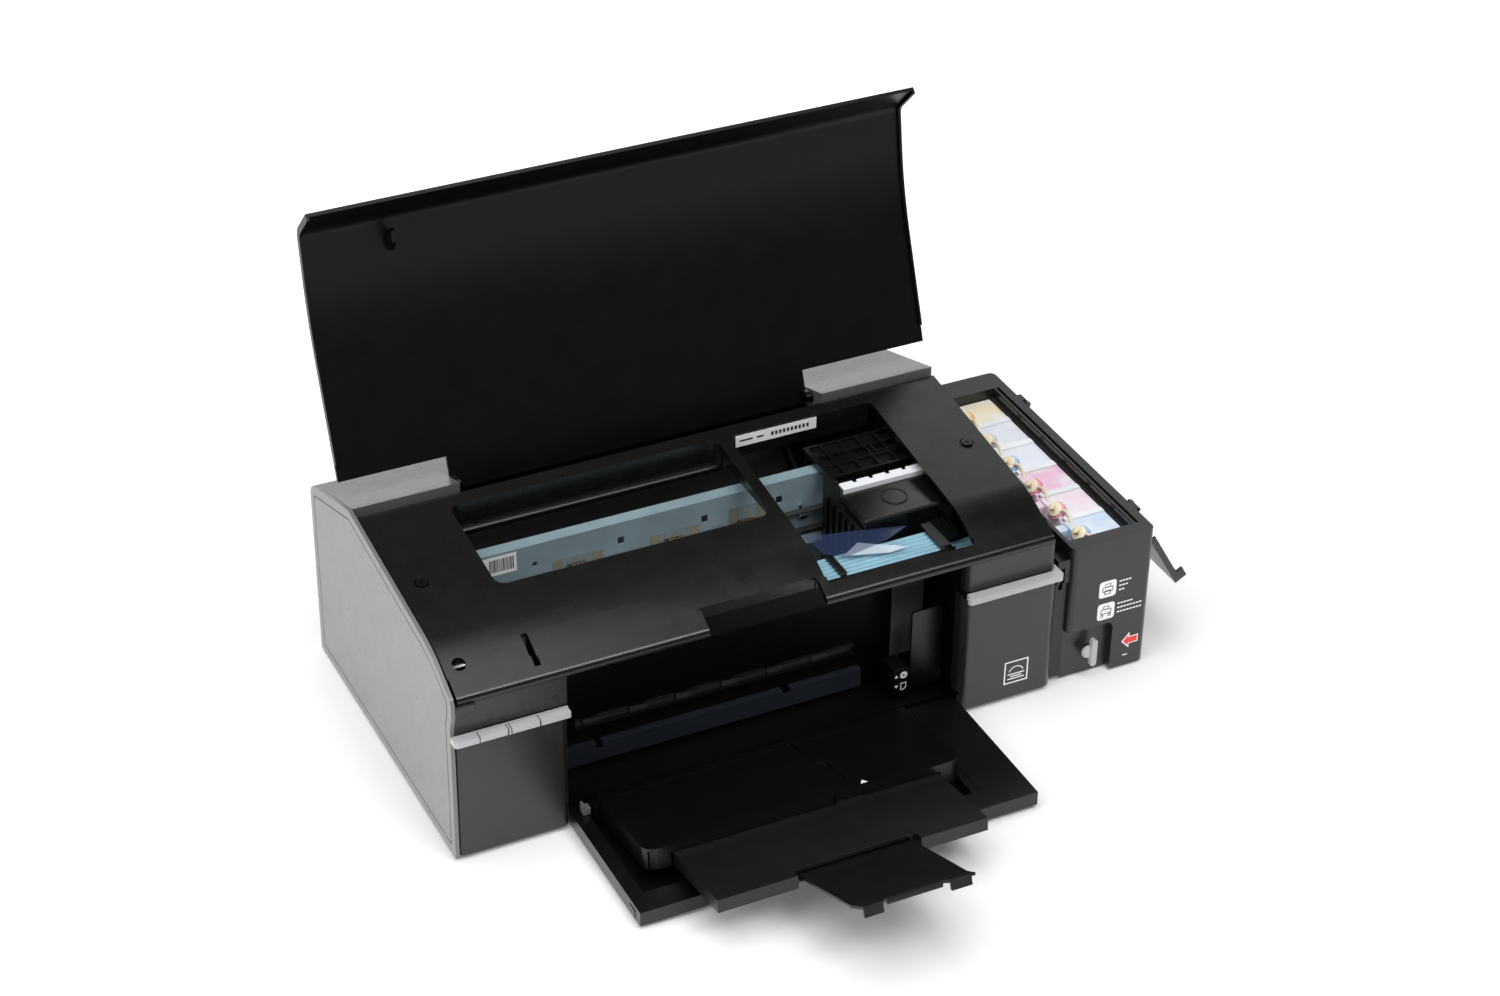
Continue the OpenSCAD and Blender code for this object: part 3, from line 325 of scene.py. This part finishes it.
def shading_group():
    """Node group that shades smooth across every edge flatter than SHARP_ANGLE."""
    g = bpy.data.node_groups.new("smooth_by_angle", "GeometryNodeTree")
    g.interface.new_socket("Geometry", in_out="INPUT", socket_type="NodeSocketGeometry")
    g.interface.new_socket("Geometry", in_out="OUTPUT", socket_type="NodeSocketGeometry")
    start, end = g.nodes.new("NodeGroupInput"), g.nodes.new("NodeGroupOutput")
    faces, edges = g.nodes.new("GeometryNodeSetShadeSmooth"), g.nodes.new("GeometryNodeSetShadeSmooth")
    edges.domain = "EDGE"
    edges.inputs["Shade Smooth"].default_value = False
    bend, sharp = g.nodes.new("GeometryNodeInputMeshEdgeAngle"), g.nodes.new("ShaderNodeMath")
    sharp.operation = "GREATER_THAN"
    sharp.inputs[1].default_value = SHARP_ANGLE
    g.links.new(bend.outputs["Unsigned Angle"], sharp.inputs[0])
    g.links.new(sharp.outputs[0], edges.inputs["Selection"])
    g.links.new(start.outputs[0], faces.inputs[0])
    g.links.new(faces.outputs[0], edges.inputs[0])
    g.links.new(edges.outputs[0], end.inputs[0])
    return g


SMOOTH = shading_group()


def soft_edges(ob, width):
    """Welds the faces, rounds every sharp edge by a width in millimetres and smooths the rest."""
    weld = ob.modifiers.new("weld", "WELD")
    weld.merge_threshold = 0.000002
    bevel = ob.modifiers.new("bevel", "BEVEL")
    bevel.width = width / 1000
    bevel.segments = 2
    bevel.limit_method = "ANGLE"
    bevel.angle_limit = SHARP_ANGLE
    bevel.harden_normals = True
    ob.modifiers.new("smooth", "NODES").node_group = SMOOTH
    normals = ob.modifiers.new("normals", "WEIGHTED_NORMAL")
    normals.keep_sharp = True


for name, ob in NODES.items():
    ob.data.materials.clear()
    ob.data.materials.append(M[LOOKS[name]])
    soft_edges(ob, EDGE.get(name, 0.3))

# ---------------------------------------------------------------- tools for the small pieces

X = Vector((1, 0, 0))
Y = Vector((0, 1, 0))
Z = Vector((0, 0, 1))


def turned_about(p, pivot_y, pivot_z, degrees):
    """A point turned about a line along x."""
    a = math.radians(degrees)
    dy, dz = p[1] - pivot_y, p[2] - pivot_z
    return (p[0], pivot_y + dy * math.cos(a) - dz * math.sin(a),
            pivot_z + dy * math.sin(a) + dz * math.cos(a))


TRAY_SLOPE, TRAY_BACK_Y, TRAY_BACK_Z = -9, 5, 18.4


def on_tray(p):
    """Tray coordinates: y runs along the sloping tray, z is its normal."""
    x, y, z = turned_about(p, 0, 0, TRAY_SLOPE)
    return (x, y + TRAY_BACK_Y, z + TRAY_BACK_Z)


def circle(cx, cy, r, n=24, start=0.0, sweep=360.0):
    """Points of a circle, or of an arc with both its ends."""
    steps = n if sweep >= 360 else n + 1
    angles = [math.radians(start + sweep * i / n) for i in range(steps)]
    return [(cx + r * math.cos(a), cy + r * math.sin(a)) for a in angles]


def rounded(x0, y0, x1, y1, r, n=5):
    """A rectangle with rounded corners."""
    corners = ((x1 - r, y1 - r, 0), (x0 + r, y1 - r, 90), (x0 + r, y0 + r, 180), (x1 - r, y0 + r, 270))
    return [p for cx, cy, a in corners for p in circle(cx, cy, r, n, a, 90)]


class Shape:
    """Geometry of one piece, gathered in printer millimetres."""

    def __init__(self, place=None):
        self.bm = bmesh.new()
        self.place = place or (lambda p: p)

    def vert(self, p):
        return self.bm.verts.new(at(*self.place(tuple(p))))

    def bridge(self, rows, close=True):
        """Faces between rows of the same number of points."""
        for a, b in zip(rows, rows[1:]):
            n = len(a)
            for i in range(n if close else n - 1):
                j = (i + 1) % n
                self.bm.faces.new((a[i], a[j], b[j], b[i]))

    def prism(self, outline, depth, origin=(0, 0, 0), u=X, v=Z):
        """An outline in the plane of u and v, pushed out along u x v."""
        o, n = Vector(origin), u.cross(v)
        rows = [[self.vert(o + u * x + v * y + n * d) for x, y in outline] for d in (0, depth)]
        self.bridge(rows)
        self.bm.faces.new(list(reversed(rows[0])))
        self.bm.faces.new(rows[1])
        return self

    def ring(self, outer, inner, depth, origin=(0, 0, 0), u=X, v=Z, close=True):
        """The band between two outlines with the same number of points."""
        o, n = Vector(origin), u.cross(v)
        rows = [[self.vert(o + u * x + v * y + n * d) for x, y in line]
                for line, d in ((outer, 0), (outer, depth), (inner, depth), (inner, 0))]
        self.bridge(rows + rows[:1], close)
        if not close:
            self.bm.faces.new([row[0] for row in rows])
            self.bm.faces.new([row[-1] for row in reversed(rows)])
        return self

    def box(self, a, b):
        return self.prism([(a[0], a[1]), (b[0], a[1]), (b[0], b[1]), (a[0], b[1])], b[2] - a[2],
                          (0, 0, a[2]), X, Y)

    def turned(self, profile, centre, axis=X, sides=28):
        """A (distance along, radius) profile turned about an axis."""
        c = Vector(centre)
        side = axis.orthogonal().normalized()
        other = axis.cross(side)
        rows = []
        for along, r in profile:
            rows.append([self.vert(c + axis * along + (side * math.cos(a) + other * math.sin(a)) * r)
                         for a in (math.tau * i / sides for i in range(sides))])
        self.bridge(rows)
        self.bm.faces.new(list(reversed(rows[0])))
        self.bm.faces.new(rows[-1])
        return self

    def tube(self, path, r, sides=10):
        """A round bar along a path."""
        points = [Vector(p) for p in path]
        rows = []
        side = None
        for i, p in enumerate(points):
            ahead = (points[min(i + 1, len(points) - 1)] - points[max(i - 1, 0)]).normalized()
            side = ahead.orthogonal() if side is None else side - ahead * side.dot(ahead)
            side.normalize()
            other = ahead.cross(side)
            rows.append([self.vert(p + (side * math.cos(a) + other * math.sin(a)) * r)
                         for a in (math.tau * k / sides for k in range(sides))])
        self.bridge(rows)
        self.bm.faces.new(list(reversed(rows[0])))
        self.bm.faces.new(rows[-1])
        return self

    def make(self, name, look, body, slot, edge=0.0):
        """The finished object, on a body unless the body is None, with its edges rounded by edge."""
        bmesh.ops.recalc_face_normals(self.bm, faces=self.bm.faces)
        me = bpy.data.meshes.new(name)
        self.bm.to_mesh(me)
        self.bm.free()
        me.materials.append(M[look])
        me.shade_smooth()
        me.set_sharp_from_angle(angle=math.radians(35))
        ob = bpy.data.objects.new(name, me)
        bpy.context.scene.collection.objects.link(ob)
        if edge:
            soft_edges(ob, edge)
        if body:
            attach(ob, body)
        return ob


# ---------------------------------------------------------------- front marks

def fascia_marks():
    """Power, drop, sheet and disc marks moulded into the left fascia above the buttons."""
    s = Shape()
    depth, z = 0.15, 109.6
    s.ring(circle(-200.1, z, 3.0, 20, 120, 300), circle(-200.1, z, 2.4, 20, 120, 300), depth, close=False)
    s.prism([(-200.4, z), (-199.8, z), (-199.8, z + 3.4), (-200.4, z + 3.4)], depth)
    drop_r, drop_line = 2.3, 0.55
    outer = circle(-177.8, z - 0.6, drop_r, 16, -210, 240) + [(-177.8, z + 4.0)]
    inner = circle(-177.8, z - 0.6, drop_r - drop_line, 16, -210, 240) + [(-177.8, z + 4.0 - 2 * drop_line)]
    s.ring(outer, inner, depth)
    sheet = [(-162.0, z - 3.2), (-158.2, z - 3.2), (-158.2, z + 1.2), (-159.8, z + 2.8), (-162.0, z + 2.8)]
    inner = [(-161.5, z - 2.7), (-158.7, z - 2.7), (-158.7, z + 1.0), (-160.0, z + 2.3), (-161.5, z + 2.3)]
    s.ring(sheet, inner, depth)
    s.ring(circle(-154.0, z, 2.7), circle(-154.0, z, 2.2), depth)
    s.ring(circle(-154.0, z, 1.0), circle(-154.0, z, 0.5), depth)
    s.make("fascia_marks", "engraved", "printer", "satin_black")


def nose_corner():
    """The nose reaches lower over its left end."""
    profile = [(-3.4, 126.0), (-3.4, 121.6), (-3.0, 119.8), (-1.8, 118.8), (-0.1, 118.6), (-0.1, 126.0)]
    Shape().prism(profile, 14.2, (-225.0, 0, 0), Y, Z).make("nose_corner", "housing", "printer",
                                                           "charcoal_shell", 0.4)


def rating_mark():
    """A generic square mark on the right front panel."""
    cx, cz, r = 197.0, 22.4, 9.6
    s = Shape()
    outer = [(cx - r, cz - r), (cx + r, cz - r), (cx + r, cz + r), (cx - r, cz + r)]
    inner = [(cx + (x - cx) * 0.90, cz + (y - cz) * 0.90) for x, y in outer]
    s.ring(outer, inner, 0.12, (0, 0, 0))
    s.ring(circle(cx, cz - 1.5, 6.2, 16, 20, 140), circle(cx, cz - 1.5, 5.5, 16, 20, 140), 0.1, close=False)
    for i, w in enumerate((13.5, 9.0, 13.5)):
        z = cz - 2.2 - 2.0 * i
        s.prism([(cx - w / 2, z), (cx + w / 2, z), (cx + w / 2, z + 0.8), (cx - w / 2, z + 0.8)], 0.1)
    s.make("rating_mark", "print", "printer", "white_clip")


def printer_symbol(s, cx, cz, depth, origin, wheels):
    """A plain outline of a printer: body, sheet above and sheet below, or wheels for the moving state."""
    s.ring(rounded(cx - 4.4, cz - 2.2, cx + 4.4, cz + 2.0, 0.8),
           rounded(cx - 3.8, cz - 1.6, cx + 3.8, cz + 1.4, 0.4), depth, origin)
    s.ring(rounded(cx - 2.4, cz + 2.0, cx + 2.4, cz + 4.6, 0.3),
           rounded(cx - 1.9, cz + 2.2, cx + 1.9, cz + 4.1, 0.2), depth, origin)
    if wheels:
        for x in (cx - 3.0, cx + 3.0):
            s.ring(circle(x, cz - 3.6, 1.3, 14), circle(x, cz - 3.6, 0.7, 14), depth, origin)
    else:
        s.ring(rounded(cx - 2.6, cz - 4.6, cx + 2.6, cz - 1.0, 0.3),
               rounded(cx - 2.0, cz - 4.0, cx + 2.0, cz - 1.6, 0.2), depth, origin)


def tank_marks():
    """Two white squares with printer symbols, bars beside them, and a red arrow with a white edge."""
    face = (0, 1.0, 0)
    raised = (0, 0.88, 0)
    upper_z, lower_z = 71.3, 52.0
    white, dark = Shape(), Shape()
    for z, wheels in ((upper_z, False), (lower_z, True)):
        white.prism(rounded(262, z - 7, 276, z + 7, 2.4), 0.12, face)
        printer_symbol(dark, 269, z, 0.08, raised, wheels)
    word_step = 2.6
    for z, lengths in ((upper_z, (10.5, 9.0, 7.0)), (lower_z, (15.5, 22.5, 21.5))):
        for i, length in enumerate(lengths):
            z0 = z + 3.4 - 3.7 * i
            for k in range(int(length / word_step)):
                x0 = 278.3 + word_step * k
                white.prism(rounded(x0, z0, x0 + 2.1, z0 + 1.1, 0.3, 2), 0.1, face)
    white.prism(rounded(286.5, 7.6, 290.5, 8.5, 0.3, 2), 0.1, face)
    arrow = [(284.6, 20.4), (291.0, 27.2), (291.0, 23.6), (298.4, 23.6), (298.4, 17.2), (291.0, 17.2),
             (291.0, 13.6)]
    white.prism(arrow, 0.12, face)
    white.make("tank_marks_white", "print", "printer", "white_clip")
    dark.make("tank_symbols", "ink", "printer", "satin_black")
    red = [(286.0, 20.4), (290.2, 24.9), (290.2, 22.8), (297.6, 22.8), (297.6, 18.0), (290.2, 18.0),
           (290.2, 15.9)]
    Shape().prism(red, 0.1, raised).make("tank_arrow", "red", "printer", "rubber")


# ---------------------------------------------------------------- inside the windows

# where the labels stand on the rear wall and on the frame plate
REAR_WALL_Y, PLATE_Y = 166.4, 129.95


def window_labels():
    """A label with plain bars on the rear wall, and a striped one on the frame plate."""
    back = Shape().prism(rounded(55.5, 150.9, 119.4, 160.3, 0.5, 2), 0.15, (0, REAR_WALL_Y, 0))
    back.make("rear_wall_label", "label", "printer", "white_clip")
    marks = Shape()
    for x0, x1 in ((58.5, 69), (72, 77.5)):
        marks.prism([(x0, 154.8), (x1, 154.8), (x1, 156.2), (x0, 156.2)], 0.08, (0, REAR_WALL_Y - 0.14, 0))
    for k in range(10):
        x0 = 83.5 + 3.1 * k
        marks.prism([(x0, 154.0), (x0 + 1.9, 154.0), (x0 + 1.9, 157.0), (x0, 157.0)], 0.08,
                    (0, REAR_WALL_Y - 0.14, 0))
    plate = Shape().prism([(-160, 121.8), (-127.4, 121.8), (-127.4, 137.0), (-160, 137.0)], 0.15,
                          (0, PLATE_Y, 0))
    plate.make("frame_label", "label", "printer", "white_clip")
    x = -147.5
    while x < -129.5:
        w = random.choice((0.35, 0.6, 0.9))
        marks.prism([(x, 124.4), (x + w, 124.4), (x + w, 134.6), (x, 134.6)], 0.08,
                    (0, PLATE_Y - 0.14, 0))
        x += w + random.choice((0.4, 0.7))
    marks.make("label_marks", "ink", "printer", "satin_black")


def frame_details():
    """Film windows with tape at their ends and a small spring in each, along the frame plate."""
    windows, tapes, springs = Shape(), Shape(), Shape()
    for x0, x1, z0, z1 in ((-101, -63, 111.5, 121.5), (-27.5, 10.5, 111.5, 121.5), (33, 62, 110, 127)):
        windows.prism([(x0, z0), (x1, z0), (x1, z1), (x0, z1)], 0.12, (0, PLATE_Y - 0.05, 0))
        mid = (x0 + x1) / 2
        for t0, t1 in ((x0 + 0.8, x0 + 6.6), (x1 - 7.4, x1 - 0.8)):
            tapes.prism([(t0, z0 + 1), (t1, z0 + 1), (t1, z1 - 0.6), (t0, z1 - 0.6)], 0.12,
                        (0, PLATE_Y - 0.2, 0))
        length, coil_r, steps, turns = 11.0, 1.8, 12, 6
        path = []
        for i in range(turns * steps + 1):
            a = math.tau * i / steps
            path.append((mid - length / 2 + length * i / (turns * steps), 127.4 + coil_r * math.cos(a),
                         114.8 + coil_r * math.sin(a)))
        springs.tube(path, 0.42, 6)
        springs.tube([(mid - length / 2 - 3, 128.6, 116.4), (mid - length / 2, 129.2, 114.8)], 0.4, 6)
    windows.make("frame_windows", "window", "printer", "clear_film")
    tapes.make("frame_tapes", "tape", "printer", "cream_plug")
    springs.make("frame_springs", "spring", "printer", "zinc_steel")
    clip = Shape()
    clip.box((88, 127.4, 104), (94, 130, 107)).box((88, 128.8, 104), (90, 130, 116))
    clip.make("frame_clip", "steel", "printer", "bright_steel", 0.3)


def rear_rail():
    """Rounded bar across the back of the windows."""
    path = [(-157.0 + 40 * i, 165.2, 139.2) for i in range(6)]
    Shape().tube(path, 3.0, 16).make("rear_rail", "black", "printer", "satin_black")


# ---------------------------------------------------------------- carriage and ink tubes

# the tubes' bend, the heights of their two runs, and where the runs end
TUBE_TURN_X, TUBE_TURN_R, TUBE_TOP, TUBE_LOW = -30.0, 7.0, 127.0, 113.0
TUBE_R = 2.0
TUBE_Y, TUBE_PITCH, TUBE_CLIP_X, TUBE_WALL_X = 23.0, 4.2, 148.0, 222.0


def ink_tubes():
    """Two runs of six tubes that meet in a bend."""
    upper, lower = Shape(), Shape()
    middle_z = (TUBE_TOP + TUBE_LOW) / 2
    for i in range(TANKS):
        y0 = TUBE_Y + TUBE_PITCH * i

        def path(x_end, sign):
            bend = [(TUBE_TURN_X - TUBE_TURN_R * math.cos(a), y0, middle_z + sign * TUBE_TURN_R * math.sin(a))
                    for a in (math.pi / 2 * k / 6 for k in range(7))]
            steps = 24
            run = []
            for k in range(1, steps + 1):
                x = TUBE_TURN_X + (x_end - TUBE_TURN_X) * k / steps
                wave = 0.35 * math.sin(k * 0.7 + i * 1.9) * (1 - k / steps)
                run.append((x, y0 + wave, middle_z + sign * TUBE_TURN_R))
            return bend + run

        upper.tube(path(TUBE_CLIP_X, 1), TUBE_R, 12)
        lower.tube(path(TUBE_WALL_X, -1), TUBE_R, 12)
    up = upper.make("ink_tube_upper_run", "tube", None, "tube_blue")
    low = lower.make("ink_tube_lower_run", "tube", None, "tube_blue")
    for ob, end_x, node in ((up, TUBE_CLIP_X, "tube_loop"), (low, TUBE_WALL_X, "tube_ribbon")):
        if ob is up:
            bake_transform(ob)
        else:
            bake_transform(ob)
        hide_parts(node)


def tube_holders():
    """Comb clip over the tubes, the film laid over them, and a whitish patch painted as the glare on the
    film's fold.
    """
    clip = Shape()
    clip.box((65, 20.9, 129.3), (70, 50.5, 131.4))
    for i in range(TANKS + 1):
        y = TUBE_Y - 2.4 + TUBE_PITCH * i
        clip.box((65, y - 0.05, 125.0), (70, y + 0.45, 129.4))
    parts = [clip.make("tube_comb", "black", None, "satin_black", 0.25)]
    sheet = [(60, 69), (96, 61), (132, 51.5), (112, 42), (75.5, 35), (64, 45)]
    parts.append(Shape().prism(sheet, 0.12, (0, 0, 133.0), X, Y).make("tube_film", "film", None,
                                                                      "clear_film"))
    # whitish sheet under the film where it folds: painted glare on the clear film
    fold = [(75.5, 37.5), (91.7, 48.0), (121, 29.5), (107, 28)]
    parts.append(Shape().prism(fold, 0.12, (0, 0, 132.4), X, Y).make("tube_film_painted_glare", "film_glare", None,
                                                                     "clear_film"))
    for ob in parts:
        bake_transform(ob)


def carriage_details():
    """Damper rim, latch and cable clips, and the pockets over the print head."""
    s = Shape()
    s.ring(circle(136, 78, 9.5, 28), circle(136, 78, 8.7, 28), 0.25, (0, 0, 140.8), X, Y)
    s.make("damper_rim", "black", "carriage_group", "satin_black")
    block = Shape()
    block.box((153, 41, 120), (168, 57.6, 127))
    for k in range(4):
        block.box((154 + 3.6 * k, 42, 127), (156 + 3.6 * k, 57, 128.6))
    block.box((176, 64, 124), (196, 92, 138))
    for k in range(5):
        block.box((177.5 + 3.8 * k, 63.2, 126), (179.5 + 3.8 * k, 92.4, 139.2))
    block.make("carriage_clips", "black", "carriage_group", "satin_black", 0.3)
    pockets = Shape()
    for x0, x1 in ((104.5, 122), (125, 143), (146, 168)):
        outer = rounded(x0, 126, x1, 137.5, 1.6, 3)
        inner = rounded(x0 + 1.2, 127.2, x1 - 1.2, 136.3, 1.0, 3)
        pockets.ring(outer, inner, 1.6, (0, 0, 145.6), X, Y)
    pockets.make("head_pockets", "satin", "carriage_group", "satin_black", 0.2)


# ---------------------------------------------------------------- paper output

def output_details():
    """Marks on the tray and beside it, the guide plates at the right of the opening, and the tray clip."""
    Shape(on_tray).prism([(33.2, -82.6), (38.4, -82.6), (35.8, -78.6)], 0.08, (0, 0, 0), X, Y).make(
        "tray_triangle", "print", "tray", "white_clip")
    lever = Shape()
    lever.prism(rounded(112.4, 9.5, 124.9, 31, 2.0, 4), -18, (0, 26, 0))
    lever.make("guide_lever", "black", "printer", "satin_black", 0.4)
    marks = Shape()
    face = (1.9, 26.0, 0)
    disc = (118.9, 25.2)
    marks.prism([(111.6, 24.0), (114.4, 24.0), (113.0, 26.6)], 0.1, face)
    marks.prism([(111.9, 17.4), (114.7, 17.4), (113.3, 14.8)], 0.1, face)
    marks.prism(circle(*disc, 2.9), 0.1, face)
    outline = [(116.6, 12.6), (119.6, 12.6), (121.2, 14.4), (121.2, 18.6), (116.6, 18.6)]
    inner = [(117.2, 13.2), (119.4, 13.2), (120.6, 14.6), (120.6, 18.0), (117.2, 18.0)]
    marks.ring(outline, inner, 0.1, face)
    marks.make("guide_marks", "print", "printer", "white_clip")
    hole = Shape().prism(circle(*disc, 0.8, 14), 0.1, (face[0], face[1] - 0.1, 0))
    hole.make("guide_mark_centre", "ink", "printer", "satin_black")
    Shape().prism(rounded(124.5, 22, 149.5, 100, 1.0, 3), 1.4, (0, 54.9, 0)).make(
        "satin_guide_plate", "satin_grey", "printer", "charcoal_shell", 0.3)
    Shape().prism(rounded(125.6, 12, 150.6, 77, 2.0, 4), -1.8, (0, 26.2, 0)).make(
        "raised_guide_plate", "black", "printer", "satin_black", 0.4)
    clip = Shape()
    clip.box((-139, -7, 11.2), (-133.5, -1, 16.5)).box((-139, -7, 16.5), (-137.4, -1, 19.5))
    clip.make("door_clip", "satin_grey", "door", "charcoal_shell", 0.3)


def small_fillers():
    """Dark blocks painted as shade in the gaps between the buttons, lip of the tube channel, rib beside the
    door's pocket, and sill behind it.
    """
    # black blocks filling the gaps between the buttons: painted shade where the gaps are dark
    gaps = Shape()
    for x in (-210.6, -190.5, -188.5, -168.15):
        gaps.box((x - 0.32, -8.04, 97.6), (x + 0.32, -1.7, 101.56))
    gaps.make("button_gap_painted_shade", "ink", "printer", "satin_black")
    Shape().box((-148.8, 19.95, 124.3), (153.8, 20.3, 129.2)).make("channel_lip", "inner", "printer",
                                                                  "black_shell", 0.1)
    Shape().box((109.2, -94.8, 2.9), (114.9, -16, 10.9)).make("door_rib", "black", "door", "black_shell", 0.3)
    Shape().box((-145.7, 8.3, 0.3), (150.7, 16.9, 1.3)).make("door_sill", "inner", "printer", "black_shell")


def valve_lever():
    """Slim grey lever of the transport valve with its boss."""
    s = Shape()
    s.prism(rounded(257.6, 8.6, 262.4, 31.6, 2.3, 6), 4.4, (0, 1.6, 0))
    s.turned([(0, 5.2), (1.6, 5.2), (2.4, 4.6), (3.0, 3.2)], (256.8, 1.8, 20.5), -Y)
    lever = s.make("valve_lever", "silver", "valve", "silver_trim", 0.7)
    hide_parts("valve_knob")


def tray_seams():
    """Shallow raised lines where the tray's panels meet."""
    s = Shape(on_tray)
    y, width = -12, 0.5
    for x0, x1 in ((-118, 10), (24, 98)):
        s.prism([(x0, y), (x1, y), (x1, y + width), (x0, y + width)], 0.12, (0, 0, 0), X, Y)
    s.make("tray_seams", "satin", "tray", "satin_black")


# ---------------------------------------------------------------- tank unit

PLUG_AXIS = Vector((-0.66, -0.10, 0.74)).normalized()


def tank_details():
    """Ridges between the bottles, and each bottle's grommet, cap and strap."""
    ridges, grommets, caps = Shape(), Shape(), Shape()
    for i in range(TANKS):
        y = BAY[0] + PITCH * i
        ridges.prism(rounded(257.5, 104.2, 289.5, 106.6, 0.8, 3), 5.4, (0, y + 3.2, 0))
        base = Vector((259.5, y + 12, 104.6))
        grommets.turned([(-1.0, 5.6), (-0.6, 6.6), (0.4, 7.0), (2.8, 7.0), (3.6, 6.4), (3.8, 4.4)], base,
                        PLUG_AXIS)
        caps.turned([(3.2, 4.4), (3.6, 5.4), (5.2, 5.6), (5.8, 4.8), (5.9, 2.6)], base, PLUG_AXIS)
        caps.turned([(5.4, 1.5), (8.6, 1.5), (9.0, 2.4), (10.2, 2.4), (10.6, 1.6)], base, PLUG_AXIS)
        strap = [base + PLUG_AXIS * 5.0 + Vector((1.5 + 3.2 * math.sin(t * 2.6), -3.6 - 15.0 * t,
                                                  2.6 * math.sin(t * 5.0) - 1.6 * t))
                 for t in (k / 14 for k in range(15))]
        caps.tube(strap, 1.1, 8)
    ridges.make("bottle_ridges", "white", "printer", "ink_bottle", 0.5)
    grommets.make("bottle_grommets", "grommet", "printer", "ink_bottle")
    cap = caps.make("bottle_caps", "cream", "printer", "cream_plug")
    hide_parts("tank_plugs")
    rail = Shape().box((293.6, 14, 108.6), (295.4, 212, 112.0))
    rail.make("bay_rail", "satin", "printer", "satin_black", 0.3)


for build in (fascia_marks, nose_corner, rating_mark, tank_marks, window_labels, frame_details, rear_rail,
              ink_tubes, tube_holders, carriage_details, output_details, small_fillers, valve_lever,
              tray_seams, tank_details):
    build()

# ---------------------------------------------------------------- studio

FLOOR_COLOR, FLOOR_SIZE = (0.88, 0.88, 0.88), 9


def studio_floor():
    """White floor: its glow fills in behind the printer, and reflections see it dark far in front."""
    m = Mat("floor", FLOOR_COLOR, 0.9)
    m.p.inputs["Emission Color"].default_value = (1, 1, 1, 1)
    rays = m.node("LightPath")
    sep = m.node("SeparateXYZ")
    m.link(m.place(), sep.inputs[0])
    glow = m.node("Mix", data_type="FLOAT")
    glow.inputs[2].default_value = 0.42
    m.link(rays.outputs["Is Camera Ray"], glow.inputs[0])
    m.link(m.remap(sep.outputs["Y"], -0.1, 1.2, 0.10, 0.75), glow.inputs[3])
    m.link(glow.outputs[0], m.p.inputs["Emission Strength"])
    seen_in_gloss = m.node("Math", operation="MULTIPLY")
    m.link(m.remap(sep.outputs["Y"], -1.90, -1.05, 1, 0), seen_in_gloss.inputs[0])
    m.link(rays.outputs["Is Glossy Ray"], seen_in_gloss.inputs[1])
    m.link(m.mix(seen_in_gloss.outputs[0], FLOOR_COLOR, (0.10, 0.10, 0.10)), m.p.inputs["Base Color"])
    me = bpy.data.meshes.new("floor")
    r = FLOOR_SIZE
    me.from_pydata([(-r, -r, 0), (r, -r, 0), (r, r, 0), (-r, r, 0)], [], [(0, 1, 2, 3)])
    me.materials.append(m.mat)
    floor = bpy.data.objects.new("floor", me)
    bpy.context.scene.collection.objects.link(floor)


def softbox(name, place, aim, size, power):
    """A rectangular light, in metres and watts, turned to face a point."""
    data = bpy.data.lights.new(name, "AREA")
    data.shape = "RECTANGLE"
    data.size, data.size_y = size
    data.energy = power
    ob = bpy.data.objects.new(name, data)
    bpy.context.scene.collection.objects.link(ob)
    ob.location = place
    ob.rotation_euler = (Vector(aim) - Vector(place)).to_track_quat("-Z", "Y").to_euler()


def studio_world():
    """Pale to the camera; for the object a bright horizon behind it, dim above and in front."""
    world = bpy.data.worlds.new("studio")
    bpy.context.scene.world = world
    world.use_nodes = True
    t = world.node_tree
    t.nodes.clear()

    def node(kind, **props):
        n = t.nodes.new("ShaderNode" + kind)
        for k, v in props.items():
            setattr(n, k, v)
        return n

    def remap(value, lo, hi, to_lo, to_hi):
        m = node("MapRange", interpolation_type="SMOOTHSTEP")
        for i, v in enumerate((lo, hi, to_lo, to_hi)):
            m.inputs[i + 1].default_value = v
        t.links.new(value, m.inputs[0])
        return m.outputs[0]

    sep = node("SeparateXYZ")
    t.links.new(node("TexCoord").outputs["Generated"], sep.inputs[0])
    back = remap(sep.outputs["Y"], 0.0, 0.85, 0.10, 1.5)
    low = remap(sep.outputs["Z"], 0.05, 0.55, 1.0, 0.16)
    product = node("Math", operation="MULTIPLY")
    t.links.new(back, product.inputs[0])
    t.links.new(low, product.inputs[1])
    pick = node("Mix", data_type="FLOAT")
    t.links.new(node("LightPath").outputs["Is Camera Ray"], pick.inputs[0])
    t.links.new(product.outputs[0], pick.inputs[2])
    pick.inputs[3].default_value = 0.97
    sky = node("Background")
    t.links.new(pick.outputs[0], sky.inputs[1])
    t.links.new(sky.outputs[0], node("OutputWorld").inputs[0])
    sky.inputs[0].default_value = (1, 1, 1, 1)


studio_floor()
softbox("overhead", (-0.5, -0.1, 2.3), (0, 0, 0), (2.2, 2.2), 42)
softbox("front_key", (0.5, -1.45, 2.1), (0, 0.0, 0.1), (1.3, 0.75), 28)
softbox("left_fill", (-2.4, -0.6, 1.6), (0, 0, 0.1), (1.6, 1.6), 26)
softbox("back_right", (1.7, 2.1, 2.1), (0, 0, 0.1), (1.0, 1.0), 4)
studio_world()
bpy.context.scene.view_settings.view_transform = "Standard"
bpy.context.scene.view_settings.look = "None"
